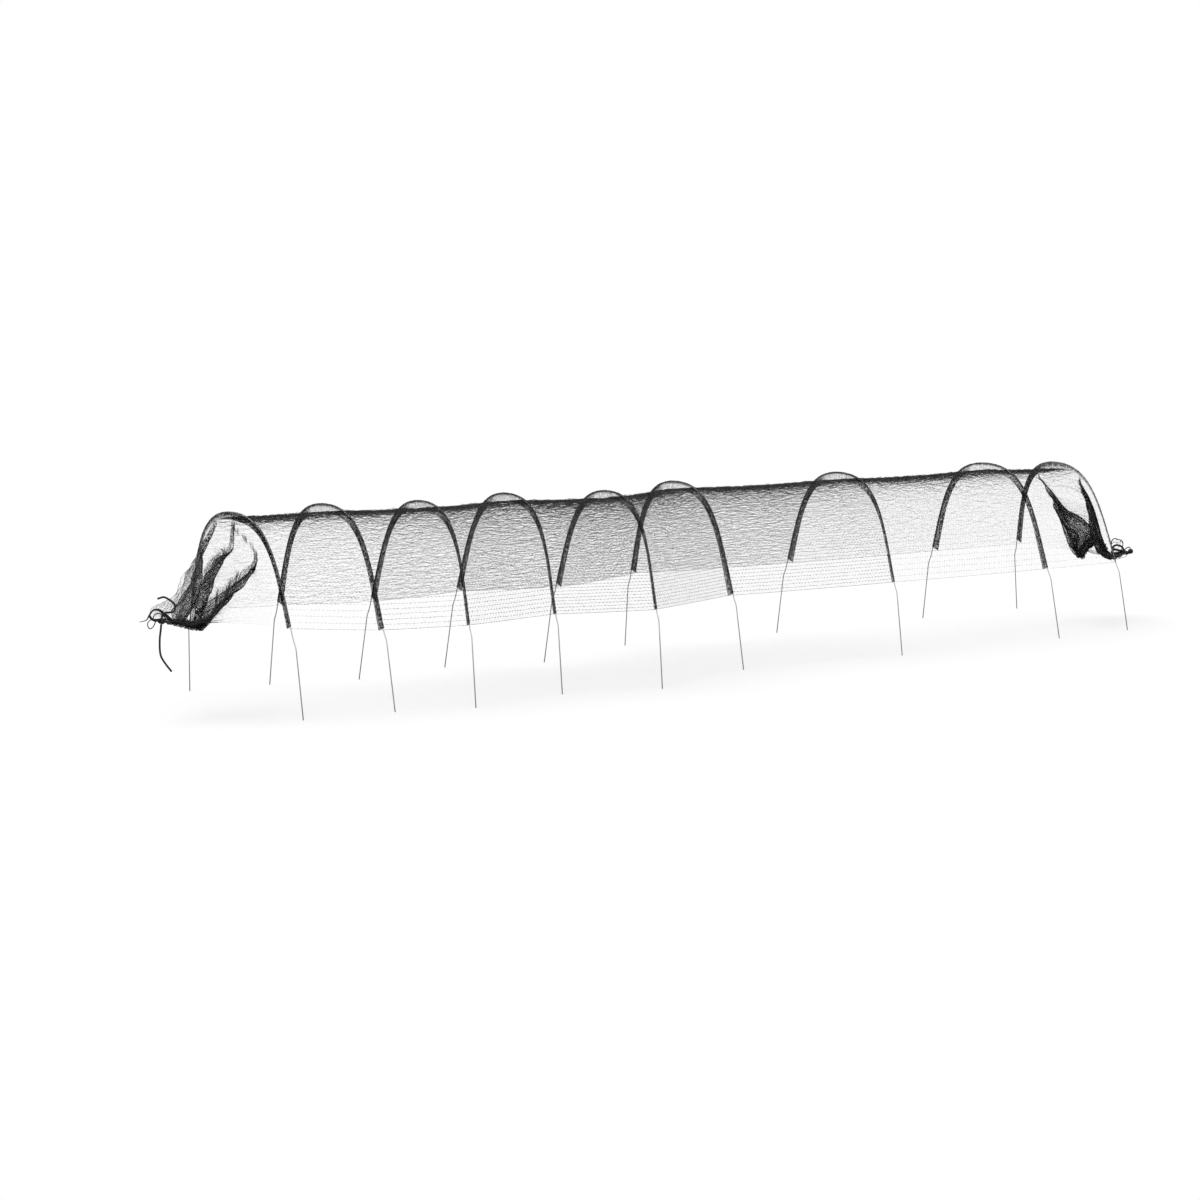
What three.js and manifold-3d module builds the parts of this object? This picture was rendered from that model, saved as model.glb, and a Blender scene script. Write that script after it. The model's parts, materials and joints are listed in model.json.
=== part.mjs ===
// Row cover tunnel: nine sprung wire hoops, each threaded through a sleeve of
// one knitted net, whose two ends are gathered on drawcords.
// Millimetres, X along the row, Z up, the ground at Z = 0.
import * as THREE from "three";
import { mergeVertices } from "three/addons/utils/BufferGeometryUtils.js";
import Module from "manifold-3d";

const wasm = await Module();
wasm.setup();

// The hoop: one galvanised wire with an arch, two steps inwards and two bare
// stakes. Its neck is the arch's foot, above the step.
const hoop_height = 500;
const foot_spacing = 600;
const wire_diameter = 3;
const wire_sides = 6;
const stake_height = 176;
const joggle_rise = 22;
const joggle_step = 12;
const neck_spacing = 512;
const tip_overrun = 4;
// How far each half arch runs straight out of its leg and out of its crown.
const leg_slope_share = 0.333;
const leg_pull_share = 0.635;
const crown_pull_share = 0.663;
const arch_steps = 10;

// The row as it stands: where each hoop is, how far it is off the centre line,
// how far its crown leans along the row, how far its front foot is turned and
// how much wider its sprung legs have opened, which lowers its crown a little.
const row_length = 2938;
const station_shares = [0, 0.0812, 0.1558, 0.262, 0.3542, 0.4899, 0.6729, 0.8792, 1];
const offset_shares = [0.091, 0.044, -0.065, 0.02, -0.12, 0.12, 0.033, 0.02, 0.028];
const lean_shares = [-0.05, -0.016, 0.048, 0.045, 0.045, -0.04, 0.012, -0.043, -0.125];
const twist_shares = [-0.05, -0.008, -0.071, -0.077, -0.098, -0.095, -0.083, -0.031, -0.206];
const spread_shares = [0.06, 0, 0, 0, 0.01, 0.02, 0.01, 0, 0.06];
const crown_give_share = 0.6;

// The net: its sleeves are tucks that stand off the cover, with the wire in
// their outer edge, and its lower edges end above the joggles.
const front_hem_rise = 8;
const back_hem_rise = 28;
const net_thickness = 0.6;
const tuck_depth = 20;
const tuck_clearance = 1.1;
const tuck_crown_share = 0.6;
const tuck_flare_share = 0.25;
const tuck_flare_run_share = 0.167;
const tuck_narrow_share = 0.5;
const tuck_fade_shares = [0.45, 0.62];
const seam_gap = 0.3;
const strand_width = 9;
const gap_target = 120;
const gaps_around = 9;
const bay_sag_share = 0.03;

// The gathered ends: a funnel of net that falls from the end hoop to a bunch.
const end_fold_count = 5;
const end_fold_depth = 9;
const end_rows = 8;
const end_net_thickness = 0.8;
const bunch_half_width = 14;
const bunch_mouth_half_width = 7;
const bunch_straight_steps = 7;
const bunch_turn_steps = 6;
const end_drop_share = 0.8;
const end_reach_share = 0.25;
const end_gather_share = 0.5;

// Left bunch, from the foot line of the first hoop.
const left_tip_reach = 268;
const left_turn_reach = 175;
const left_tip_offset = 93;
const left_turn_offset = 63;
const left_tip_height = 242;
const left_turn_height = 225;

// Right bunch, from the foot line of the last hoop.
const right_tip_reach = 225;
const right_turn_reach = 50;
const right_tip_offset = 20;
const right_turn_offset = -5;
const right_tip_height = 196;
const right_turn_height = 186;

// The drawcord, its channel in the gathered hem and the knot in its two ends.
const cord_diameter = 5;
const cord_sides = 8;
const cord_step_share = 2.2;
const channel_clearance = 0.5;
const hem_wall = 1.8;
const hem_gather = 0.9;
const channel_sides = 6;
const cord_pair_gap = 0.6;
const knot_wall = 0.4;
const knot_rib = 1.9;
const knot_length = 17;
const knot_ribs = 3;
const knot_rib_shares = [0.3, 0.7];
const knot_sides = 12;
const knot_reach = 18;
const touch_gap = 0.3;

const steel = { color: 0xc4c8ca, roughness: 0.42, metalness: 0.9 };
const netting = { color: 0x1a1718, roughness: 0.85, metalness: 0 };
const cordage = { color: 0x121112, roughness: 0.8, metalness: 0 };

const wire_radius = wire_diameter / 2;
const cord_radius = cord_diameter / 2;
const neck_height = stake_height + joggle_rise;
const front_hem_height = neck_height + front_hem_rise;
const back_hem_height = neck_height + back_hem_rise;
const bay_seam_drop = seam_gap + net_thickness / 2;
const end_seam_drop = seam_gap + end_net_thickness / 2;
const hoop_count = station_shares.length;
const first_x = -(row_length + right_tip_reach - left_tip_reach) / 2;

const vec = (x, y, z) => new THREE.Vector3(x, y, z);
const mix = (a, b, share) => a + (b - a) * share;

// Turns a closed geometry the right way out.
function outward(geometry) {
  const position = geometry.attributes.position;
  const index = geometry.index.array;
  let volume = 0;
  for (let i = 0; i < index.length; i += 3) {
    const [a, b, c] = [0, 1, 2].map((k) => vec().fromBufferAttribute(position, index[i + k]));
    volume += a.dot(b.cross(c));
  }
  if (volume < 0) {
    for (let i = 0; i < index.length; i += 3) {
      [index[i], index[i + 1]] = [index[i + 1], index[i]];
    }
  }
  return geometry;
}

// Keeps only a geometry's shape, as one closed skin without empty triangles.
function bare(geometry) {
  geometry.deleteAttribute("normal");
  geometry.deleteAttribute("uv");
  const merged = mergeVertices(geometry);
  const corners = merged.index.array;
  const faces = [];
  for (let i = 0; i < corners.length; i += 3) {
    const face = [corners[i], corners[i + 1], corners[i + 2]];
    if (new Set(face).size === 3) faces.push(...face);
  }
  merged.setIndex(faces);
  return outward(merged);
}

function from_points(points, faces) {
  const geometry = new THREE.BufferGeometry();
  geometry.setAttribute(
    "position",
    new THREE.Float32BufferAttribute(points.flatMap((p) => [p.x, p.y, p.z]), 3)
  );
  geometry.setIndex(faces);
  return outward(geometry);
}

function to_solid(geometry) {
  const mesh = new wasm.Mesh({
    numProp: 3,
    vertProperties: new Float32Array(geometry.attributes.position.array),
    triVerts: new Uint32Array(geometry.index.array),
  });
  return new wasm.Manifold(mesh);
}

function from_solid(solid) {
  const mesh = solid.getMesh();
  const geometry = new THREE.BufferGeometry();
  geometry.setAttribute("position", new THREE.BufferAttribute(mesh.vertProperties, 3));
  geometry.setIndex(new THREE.BufferAttribute(mesh.triVerts, 1));
  return geometry;
}

// A path with one ring of the extrusion at each of its own points.
class Route extends THREE.Curve {
  constructor(points) {
    super();
    this.points = points;
  }
  getPoint(t, target = vec()) {
    const last = this.points.length - 1;
    const at = Math.min(Math.max(t, 0), 1) * last;
    const i = Math.min(Math.floor(at), last - 1);
    return target.copy(this.points[i]).lerp(this.points[i + 1], at - i);
  }
  getPointAt(u, target) {
    return this.getPoint(u, target);
  }
  getTangentAt(u, target = vec()) {
    const last = this.points.length - 1;
    const i = Math.round(u * last);
    target.set(0, 0, 0);
    for (const j of [Math.max(i - 1, 0), Math.min(i, last - 1)]) {
      target.add(this.points[j + 1].clone().sub(this.points[j]).normalize());
    }
    return target.normalize();
  }
}

function round_bar(points, radius, sides) {
  const section = new THREE.Shape();
  for (let i = 0; i < sides; i += 1) {
    const turn = (2 * Math.PI * i) / sides;
    const [x, y] = [radius * Math.cos(turn), radius * Math.sin(turn)];
    if (i === 0) section.moveTo(x, y);
    else section.lineTo(x, y);
  }
  section.closePath();
  const steps = points.length - 1;
  return bare(new THREE.ExtrudeGeometry(section, { extrudePath: new Route(points), steps }));
}

// A wall that closes on itself both ways: out along its outer rings and back
// along its inner ones, so that it is one open-ended hollow body.
function hollow_bar(outer, inner) {
  const rings = [...outer, ...inner.slice().reverse()];
  const around = rings[0].length;
  const faces = [];
  rings.forEach((ring, i) => {
    const next = (i + 1) % rings.length;
    for (let j = 0; j < around; j += 1) {
      const k = (j + 1) % around;
      const [a, b, c, d] = [i * around + j, i * around + k, next * around + k, next * around + j];
      faces.push(a, b, c, a, c, d);
    }
  });
  return from_points(rings.flat(), faces);
}

// A sheet of even thickness on a grid of points, with some cells left open. A
// cell is split along the same diagonal on both faces, so a twisted cell keeps
// its thickness.
function sheet(grid, thickness, open = () => false) {
  const rows = grid.length;
  const columns = grid[0].length;
  const points = [];
  const across = vec();
  const along = vec();
  for (const side of [1, -1]) {
    for (let i = 0; i < rows; i += 1) {
      for (let j = 0; j < columns; j += 1) {
        along.subVectors(grid[Math.min(i + 1, rows - 1)][j], grid[Math.max(i - 1, 0)][j]);
        across.subVectors(grid[i][Math.min(j + 1, columns - 1)], grid[i][Math.max(j - 1, 0)]);
        const normal = across.clone().cross(along).normalize();
        points.push(grid[i][j].clone().addScaledVector(normal, (side * thickness) / 2));
      }
    }
  }
  const solid = (i, j) => i >= 0 && j >= 0 && i < rows - 1 && j < columns - 1 && !open(i, j);
  const top = (i, j) => i * columns + j;
  const under = (i, j) => rows * columns + top(i, j);
  const faces = [];
  const quad = (a, b, c, d) => faces.push(a, b, c, a, c, d);
  for (let i = 0; i < rows - 1; i += 1) {
    for (let j = 0; j < columns - 1; j += 1) {
      if (!solid(i, j)) continue;
      const corners = [[i, j], [i, j + 1], [i + 1, j + 1], [i + 1, j]];
      quad(...corners.map(([a, b]) => top(a, b)));
      quad(...[2, 1, 0, 3].map((k) => under(...corners[k])));
      const beyond = [[i - 1, j], [i, j + 1], [i + 1, j], [i, j - 1]];
      beyond.forEach(([a, b], side) => {
        if (solid(a, b)) return;
        const [p, q] = [corners[side], corners[(side + 1) % 4]];
        quad(top(...q), top(...p), under(...p), under(...q));
      });
    }
  }
  return from_points(points, faces);
}

// How often the search for a hem's height on the arch halves its range.
const halvings = 40;

// The wire's centre line in the hoop's own plane, from the front tip to the
// back one, with the stretch of it that the net covers and the ways out there.
function hoop_line(spread) {
  const opened = (neck_spacing / 2) * spread;
  const neck = neck_spacing / 2 + opened;
  const crown = hoop_height - wire_radius - opened * crown_give_share;
  const pull = (crown - neck_height) * leg_pull_share;
  const arch = new THREE.CubicBezierCurve3(
    vec(0, neck, neck_height),
    vec(0, neck - pull * leg_slope_share, neck_height + pull),
    vec(0, neck * crown_pull_share, crown),
    vec(0, 0, crown)
  );
  const stake_top = vec(0, neck + joggle_step, stake_height);
  const foot = vec(0, foot_spacing / 2, 0);
  const down = foot.clone().sub(stake_top).normalize();
  const tip = foot.clone().addScaledVector(down, tip_overrun);
  const half = (hem_height) => {
    let [low, high] = [0, 1];
    for (let i = 0; i < halvings; i += 1) {
      const middle = (low + high) / 2;
      if (arch.getPoint(middle).z < hem_height) low = middle;
      else high = middle;
    }
    const shares = Array.from({ length: arch_steps }, (_, i) => mix(low, 1, i / arch_steps));
    return [tip, stake_top, arch.getPoint(0), ...shares.map((share) => arch.getPoint(share))];
  };
  const front = half(front_hem_height).map((p) => vec(0, -p.y, p.z));
  const points = [...front, arch.getPoint(1), ...half(back_hem_height).reverse()];
  const covered = [];
  const outwards = [];
  for (let i = front.length - arch_steps; i <= front.length + arch_steps; i += 1) {
    const before = points[i].clone().sub(points[i - 1]).normalize();
    const tangent = points[i + 1].clone().sub(points[i]).normalize().add(before).normalize();
    covered.push(points[i]);
    outwards.push(vec(0, -tangent.z, tangent.y));
  }
  return { points, covered, outwards };
}

const lines = spread_shares.map(hoop_line);
const covered_steps = 2 * arch_steps;

// The tuck is deepest at its lower ends, and shallow where an end hoop's outer
// half carries no bay of net behind it.
function depth_at(hoop, i) {
  const share = i / covered_steps;
  const flare = Math.max(0, 1 - Math.min(share, 1 - share) / tuck_flare_run_share);
  let depth = tuck_depth * (1 + tuck_flare_share * flare);
  const slack = hoop === 0 ? share : hoop === hoop_count - 1 ? 1 - share : 0;
  depth *= mix(1, tuck_narrow_share, THREE.MathUtils.smoothstep(slack, ...tuck_fade_shares));
  return depth;
}

function tuck_section(depth) {
  const half = wire_radius + net_thickness + tuck_clearance;
  const crown = half * tuck_crown_share;
  return [
    [0, -depth],
    [half, -wire_radius],
    [crown, half],
    [-crown, half],
    [-half, -wire_radius],
  ];
}

// Moves each side of a convex outline inwards by one wall.
function inset(outline, wall) {
  const count = outline.length;
  return outline.map(([x, y], i) => {
    const [px, py] = outline[(i + count - 1) % count];
    const [nx, ny] = outline[(i + 1) % count];
    const a = new THREE.Vector2(-(y - py), x - px).normalize();
    const b = new THREE.Vector2(-(ny - y), nx - x).normalize();
    const push = wall / (1 + a.dot(b));
    return [x + (a.x + b.x) * push, y + (a.y + b.y) * push];
  });
}

function tuck_rings(hoop, outline_of) {
  const { covered, outwards } = lines[hoop];
  return covered.map((p, i) =>
    outline_of(tuck_section(depth_at(hoop, i))).map(([x, y]) =>
      vec(x, 0, 0).add(p).addScaledVector(outwards[i], y)
    )
  );
}

function hoop_place(hoop) {
  const place = new THREE.Group();
  place.position.set(
    first_x + row_length * station_shares[hoop],
    foot_spacing * offset_shares[hoop],
    0
  );
  const [lean, twist] = [Math.asin(lean_shares[hoop]), Math.asin(twist_shares[hoop])];
  place.rotation.set(0, lean, twist, "ZYX");
  place.updateMatrix();
  return place;
}

// A point of the seam under a sleeve, so far beside its middle and below the
// tuck, and the way that the cover faces there. share runs from the front hem
// to the back one.
function seam(hoop, share, beside, below) {
  const { covered, outwards } = lines[hoop];
  const at = share * covered_steps;
  const i = Math.min(Math.floor(at), covered_steps - 1);
  const spot = (n) => covered[n].clone().addScaledVector(outwards[n], -depth_at(hoop, n) - below);
  const point = spot(i).lerp(spot(i + 1), at - i);
  point.x = beside;
  const facing = outwards[i].clone().lerp(outwards[i + 1], at - i).normalize();
  const matrix = places[hoop].matrix;
  return { point: point.applyMatrix4(matrix), facing: facing.transformDirection(matrix) };
}

// Lines of a net panel: strand, gap, strand and so on, as shares of its length.
function strand_lines(length, gaps) {
  const gap = (length - strand_width * (gaps + 1)) / gaps;
  const lines = [0];
  for (let i = 0; i < gaps; i += 1) {
    lines.push(lines.at(-1) + strand_width / length);
    lines.push(lines.at(-1) + gap / length);
  }
  return [...lines, 1];
}

const places = station_shares.map((_, hoop) => hoop_place(hoop));
const seam_length = new Route(lines[0].covered).getLength();

function bay_net(bay) {
  const length = row_length * (station_shares[bay + 1] - station_shares[bay]);
  const gaps = Math.max(2, Math.round(length / gap_target));
  const down = strand_lines(seam_length, gaps_around);
  const grid = strand_lines(length, gaps).map((u) =>
    down.map((v) => {
      const a = seam(bay, v, seam_gap / 2, bay_seam_drop);
      const b = seam(bay + 1, v, -seam_gap / 2, bay_seam_drop);
      const sag = bay_sag_share * length * 4 * u * (1 - u);
      const facing = a.facing.lerp(b.facing, u);
      return a.point.lerp(b.point, u).addScaledVector(facing, -sag);
    })
  );
  return sheet(grid, net_thickness, (i, j) => i % 2 === 1 && j % 2 === 1);
}

// The hairpin that the gathered hem and its drawcord follow: out of the tip,
// round the turn beside the hoop and back. It starts on the front side.
function hairpin(tip, turn) {
  const along = turn.clone().sub(tip).normalize();
  const back = vec(-along.y, along.x, 0).normalize();
  if (back.y < 0) back.negate();
  const points = [];
  const widths = [bunch_mouth_half_width, bunch_half_width];
  for (let i = 0; i < bunch_straight_steps; i += 1) {
    const share = i / bunch_straight_steps;
    const width = mix(...widths, share);
    points.push(tip.clone().lerp(turn, share).addScaledVector(back, -width));
  }
  for (let i = 0; i <= bunch_turn_steps; i += 1) {
    const angle = (Math.PI * i) / bunch_turn_steps;
    points.push(
      turn
        .clone()
        .addScaledVector(back, -bunch_half_width * Math.cos(angle))
        .addScaledVector(along, bunch_half_width * Math.sin(angle))
    );
  }
  for (let i = bunch_straight_steps - 1; i >= 0; i -= 1) {
    const share = i / bunch_straight_steps;
    const width = mix(...widths, share);
    points.push(tip.clone().lerp(turn, share).addScaledVector(back, width));
  }
  return { points, along, back, up: along.clone().cross(back).normalize(), tip };
}

const path_tangent = (points, i) =>
  points[Math.min(i + 1, points.length - 1)].clone().sub(points[Math.max(i - 1, 0)]).normalize();

const channel_radius = (cord_radius + channel_clearance) / Math.cos(Math.PI / channel_sides);
const hem_radius = channel_radius + hem_wall;

function gathered_hem(bunch) {
  const ring = (i, radius) => {
    const tangent = path_tangent(bunch.points, i);
    const side = bunch.up.clone().cross(tangent).normalize();
    const out = tangent.clone().cross(side).normalize();
    return Array.from({ length: channel_sides }, (_, k) => {
      const turn = (2 * Math.PI * k) / channel_sides;
      return bunch.points[i]
        .clone()
        .addScaledVector(side, radius * Math.cos(turn))
        .addScaledVector(out, radius * Math.sin(turn));
    });
  };
  const outer = bunch.points.map((_, i) => ring(i, hem_radius - (i % 2) * hem_gather));
  const inner = bunch.points.map((_, i) => ring(i, channel_radius));
  return hollow_bar(outer, inner);
}

// The folds of a funnel are deepest two thirds of the way down it, where this
// makes their share of the full depth one.
const fold_peak = 27 / 4;

// The funnel of net: each of its strands leaves the end hoop's seam, falls
// steeply and then runs out to the gathered hem. Its folds deepen on the way.
function end_net(hoop, side, bunch) {
  const steps = bunch.points.length - 1;
  const grid = [];
  for (let i = 0; i <= end_rows; i += 1) grid.push([]);
  for (let j = 0; j <= steps; j += 1) {
    const beside = side * (seam_gap + end_net_thickness / 2);
    const start = seam(hoop, j / steps, beside, end_seam_drop).point;
    const stop = bunch.points[j].clone();
    const bend = vec(
      mix(start.x, stop.x, end_reach_share),
      mix(start.y, stop.y, end_gather_share),
      mix(start.z, stop.z, end_drop_share)
    );
    const tangent = path_tangent(bunch.points, j);
    const arrive = bend.clone().sub(stop);
    arrive.addScaledVector(tangent, -arrive.dot(tangent)).normalize();
    stop.addScaledVector(arrive, hem_radius + touch_gap);
    const fall = new THREE.QuadraticBezierCurve3(start, bend, stop);
    for (let i = 0; i <= end_rows; i += 1) grid[i].push(fall.getPoint(i / end_rows));
  }
  const folded = grid.map((row, i) =>
    row.map((p, j) => {
      const share = i / end_rows;
      const before = grid[Math.max(i - 1, 0)][j];
      const along = grid[Math.min(i + 1, end_rows)][j].clone().sub(before);
      const across = path_tangent(row, j);
      const normal = across.cross(along).normalize();
      const swell = fold_peak * share * share * (1 - share);
      const wave = Math.cos((2 * Math.PI * end_fold_count * j) / steps);
      return p.clone().addScaledVector(normal, end_fold_depth * swell * wave);
    })
  );
  return sheet(folded, end_net_thickness);
}

const knot_face_radius = cord_diameter + cord_pair_gap / 2 + knot_wall;

// A wrapped overhand knot: two flat ends where the cords enter side by side,
// and a rib for each turn of the cord round them.
function knot(bunch) {
  const profile = [new THREE.Vector2(0, 0), new THREE.Vector2(knot_face_radius, 0)];
  const pitch = knot_length / knot_ribs;
  for (let i = 0; i < knot_ribs; i += 1) {
    for (const share of knot_rib_shares) {
      profile.push(new THREE.Vector2(knot_face_radius + knot_rib, pitch * (i + share)));
    }
    profile.push(new THREE.Vector2(knot_face_radius, pitch * (i + 1)));
  }
  profile.push(new THREE.Vector2(0, knot_length));
  const body = bare(new THREE.LatheGeometry(profile, knot_sides));
  const away = bunch.along.clone().negate();
  body.applyQuaternion(new THREE.Quaternion().setFromUnitVectors(vec(0, 1, 0), away));
  body.translate(...bunch.tip.clone().addScaledVector(away, knot_reach).toArray());
  return body;
}

// The drawcord from the knot through the channel and back to the knot.
function channel_cord(bunch) {
  const away = bunch.along.clone().negate();
  const face = bunch.tip.clone().addScaledVector(away, knot_reach - touch_gap);
  const apart = (cord_diameter + cord_pair_gap) / 2;
  const start = face.clone().addScaledVector(bunch.back, -apart);
  const end = face.clone().addScaledVector(bunch.back, apart);
  const lead = [start, end].map((p) => p.clone().addScaledVector(bunch.along, cord_diameter));
  const points = [start, lead[0], ...bunch.points, lead[1], end];
  return round_bar(points, cord_radius, cord_sides);
}

// The two free ends of the left drawcord, out of the knot's sides: one hangs,
// the other bends over the bunch and back.
const left_tail_route = [
  [-1741.6, -46.6, 238.7],
  [-1742.5, -46.5, 228],
  [-1746, -46, 200],
  [-1744.5, -45.5, 166],
  [-1734, -45.5, 145],
  [-1714.5, -45.5, 120.5],
];
const left_end_route = [
  [-1739, -45.8, 254.3],
  [-1738, -45.8, 260],
  [-1729, -45, 266],
  [-1714, -44.5, 265.5],
  [-1703, -44, 268.5],
  [-1700.5, -44, 277],
  [-1704, -44, 287],
  [-1717, -44.5, 297],
  [-1732, -45, 304.5],
  [-1749.5, -46, 302],
];

function free_cord(route) {
  const curve = new THREE.CatmullRomCurve3(route.map((p) => vec(...p)));
  const steps = Math.round(curve.getLength() / (cord_step_share * cord_diameter));
  return round_bar(curve.getSpacedPoints(steps), cord_radius, cord_sides);
}

const group = new THREE.Group();
group.name = "row_cover_tunnel";

function add(name, geometry, look, parent = group) {
  const piece = new THREE.Mesh(geometry, new THREE.MeshStandardMaterial(look));
  piece.name = name;
  parent.add(piece);
}

places.forEach((place, hoop) => {
  const ground = new THREE.BoxGeometry(foot_spacing, 2 * foot_spacing, tip_overrun * 2);
  ground.translate(0, 0, -tip_overrun);
  ground.translate(place.position.x, place.position.y, 0);
  ground.applyMatrix4(place.matrix.clone().invert());
  const wire = to_solid(round_bar(lines[hoop].points, wire_radius, wire_sides));
  add(`hoop_${hoop + 1}`, from_solid(wire.subtract(to_solid(bare(ground)))), steel, place);
  const outer = tuck_rings(hoop, (outline) => outline);
  const inner = tuck_rings(hoop, (outline) => inset(outline, net_thickness));
  add(`sleeve_${hoop + 1}`, hollow_bar(outer, inner), netting, place);
  group.add(place);
});

for (let bay = 0; bay < hoop_count - 1; bay += 1) {
  add(`net_bay_${bay + 1}`, bay_net(bay), netting);
}

const first = places[0].position;
const last = places.at(-1).position;
const bunches = {
  left: {
    hoop: 0,
    side: -1,
    ...hairpin(
      vec(first.x - left_tip_reach, first.y - left_tip_offset, left_tip_height),
      vec(first.x - left_turn_reach, first.y - left_turn_offset, left_turn_height)
    ),
  },
  right: {
    hoop: hoop_count - 1,
    side: 1,
    ...hairpin(
      vec(last.x + right_tip_reach, last.y - right_tip_offset, right_tip_height),
      vec(last.x + right_turn_reach, last.y - right_turn_offset, right_turn_height)
    ),
  },
};

for (const [end, bunch] of Object.entries(bunches)) {
  add(`end_net_${end}`, end_net(bunch.hoop, bunch.side, bunch), netting);
  add(`end_hem_${end}`, gathered_hem(bunch), netting);
  add(`drawcord_${end}`, channel_cord(bunch), cordage);
  add(`drawcord_${end}_knot`, knot(bunch), cordage);
}

add("drawcord_left_tail", free_cord(left_tail_route), cordage);
add("drawcord_left_end", free_cord(left_end_route), cordage);

export default group;
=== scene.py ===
# %% [markdown]
# # A row cover tunnel
# A row cover tunnel keeps insects and birds off a bed of vegetables. Nine
# springy wire hoops carry one long net, each wire threaded through a tuck of
# it, and a drawcord gathers the net at either end. Here the wires, the net,
# its tucks, the gathered ends and the cords are made in their finished look,
# around a model that already fixes where each hoop stands and how it moves.

# %% Load the frame
import json
import math
import bpy
import numpy as np
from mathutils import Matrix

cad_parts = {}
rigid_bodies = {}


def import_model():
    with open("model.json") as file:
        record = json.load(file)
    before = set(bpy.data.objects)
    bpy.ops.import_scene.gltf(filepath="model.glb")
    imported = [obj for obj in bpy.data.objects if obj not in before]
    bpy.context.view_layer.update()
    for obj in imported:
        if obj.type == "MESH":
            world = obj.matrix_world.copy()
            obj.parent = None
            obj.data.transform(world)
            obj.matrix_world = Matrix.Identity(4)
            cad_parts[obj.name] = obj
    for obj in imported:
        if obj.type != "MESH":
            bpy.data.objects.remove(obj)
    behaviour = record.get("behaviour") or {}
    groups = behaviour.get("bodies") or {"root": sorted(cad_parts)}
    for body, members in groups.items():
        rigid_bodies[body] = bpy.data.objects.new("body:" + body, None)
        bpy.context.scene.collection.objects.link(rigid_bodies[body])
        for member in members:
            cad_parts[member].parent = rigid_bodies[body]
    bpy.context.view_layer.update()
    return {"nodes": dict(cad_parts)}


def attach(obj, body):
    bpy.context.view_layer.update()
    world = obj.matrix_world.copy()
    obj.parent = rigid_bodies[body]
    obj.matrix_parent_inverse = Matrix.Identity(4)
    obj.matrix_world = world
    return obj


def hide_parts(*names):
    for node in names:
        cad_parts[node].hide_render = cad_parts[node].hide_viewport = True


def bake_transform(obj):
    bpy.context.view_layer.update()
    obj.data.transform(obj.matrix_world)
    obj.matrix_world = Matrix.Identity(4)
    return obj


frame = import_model()

# %% [markdown]
# ## The camera
# The camera stands low in front of the near end and looks along the row, so
# that the hoops overlap. A long lens was found by fitting nine equal hoops to
# their places in the picture. The camera comes first, with the cords, because
# a loose cord has to stay in its view.

# %% Camera
image_side = 1200
focal_length_px = 3122.8
camera_place = (-5.5008, -6.6725, 1.1908)
camera_yaw = math.radians(37.63)
camera_pitch = math.radians(6.748)

camera_data = bpy.data.cameras.new("row_camera")
camera_data.lens = focal_length_px / image_side * camera_data.sensor_width
camera_data.clip_end = 100
camera = bpy.data.objects.new("row_camera", camera_data)
camera.location = camera_place
camera.rotation_euler = (math.pi / 2 - camera_pitch, 0, -camera_yaw)
bpy.context.scene.collection.objects.link(camera)
bpy.context.scene.camera = camera
print("camera lens", round(camera_data.lens, 1), "mm")

# %% [markdown]
# ## Node trees as expressions
# A node tree is easier to read as sums and calls than as boxes and wires. One
# small class wraps a socket, so that 1 - mask adds a Math node, and one method
# adds every other node. The same class serves for finishes and for geometry.

# %% Sockets that Python can reckon with
class Value:
    def __init__(self, tree, socket):
        self.tree = tree
        self.socket = socket

    def node(self, kind, settings=None, inputs=None, output=0):
        return add_node(self.tree, kind, settings, inputs, output)

    def math(self, operation, *others):
        inputs = dict(enumerate([self, *others]))
        return self.node("ShaderNodeMath", {"operation": operation}, inputs)

    def __add__(self, other):
        return self.math("ADD", other)

    def __sub__(self, other):
        return self.math("SUBTRACT", other)

    def __mul__(self, other):
        return self.math("MULTIPLY", other)

    def __truediv__(self, other):
        return self.math("DIVIDE", other)

    def __mod__(self, other):
        return self.math("FLOORED_MODULO", other)

    def __rtruediv__(self, other):
        return self.math("POWER", -1.0) * other

    def __rsub__(self, other):
        return (self * -1) + other

    __radd__ = __add__
    __rmul__ = __mul__

    def clamp(self, low=0.0, high=1.0):
        return self.math("MAXIMUM", low).math("MINIMUM", high)


def add_node(tree, kind, settings=None, inputs=None, output=0):
    made = tree.nodes.new(kind)
    for name, setting in (settings or {}).items():
        setattr(made, name, setting)
    for name, value in (inputs or {}).items():
        if isinstance(value, Value):
            tree.links.new(value.socket, made.inputs[name])
        else:
            made.inputs[name].default_value = value
    return Value(tree, made.outputs[output]) if len(made.outputs) else made


print("sockets can be added, subtracted, multiplied and divided")

# %% [markdown]
# A few helpers say in one line what a finish needs often: a mix of two colours,
# a cloudy noise, a bump that follows a height, and the material itself, which
# starts empty.

# %% Helpers for finishes
def mix_colours(factor, first, second):
    settings = {"data_type": "RGBA"}
    return factor.node("ShaderNodeMix", settings, {0: factor, 6: first, 7: second}, 2)


def new_material(name):
    material = bpy.data.materials.new(name)
    material.use_nodes = True
    material.node_tree.nodes.clear()
    return material, material.node_tree


def finish_material(tree, shader_inputs):
    shader = add_node(tree, "ShaderNodeBsdfPrincipled", None, shader_inputs)
    add_node(tree, "ShaderNodeOutputMaterial", None, {"Surface": shader})


def noise_at(place, scale, detail, output=0):
    inputs = {"Vector": place, "Scale": scale, "Detail": detail}
    return place.node("ShaderNodeTexNoise", None, inputs, output)


def bump(height, strength, distance):
    inputs = {"Height": height, "Strength": strength, "Distance": distance}
    return height.node("ShaderNodeBump", None, inputs)


print("helpers", [made.__name__ for made in (mix_colours, noise_at, bump, finish_material)])

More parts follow.
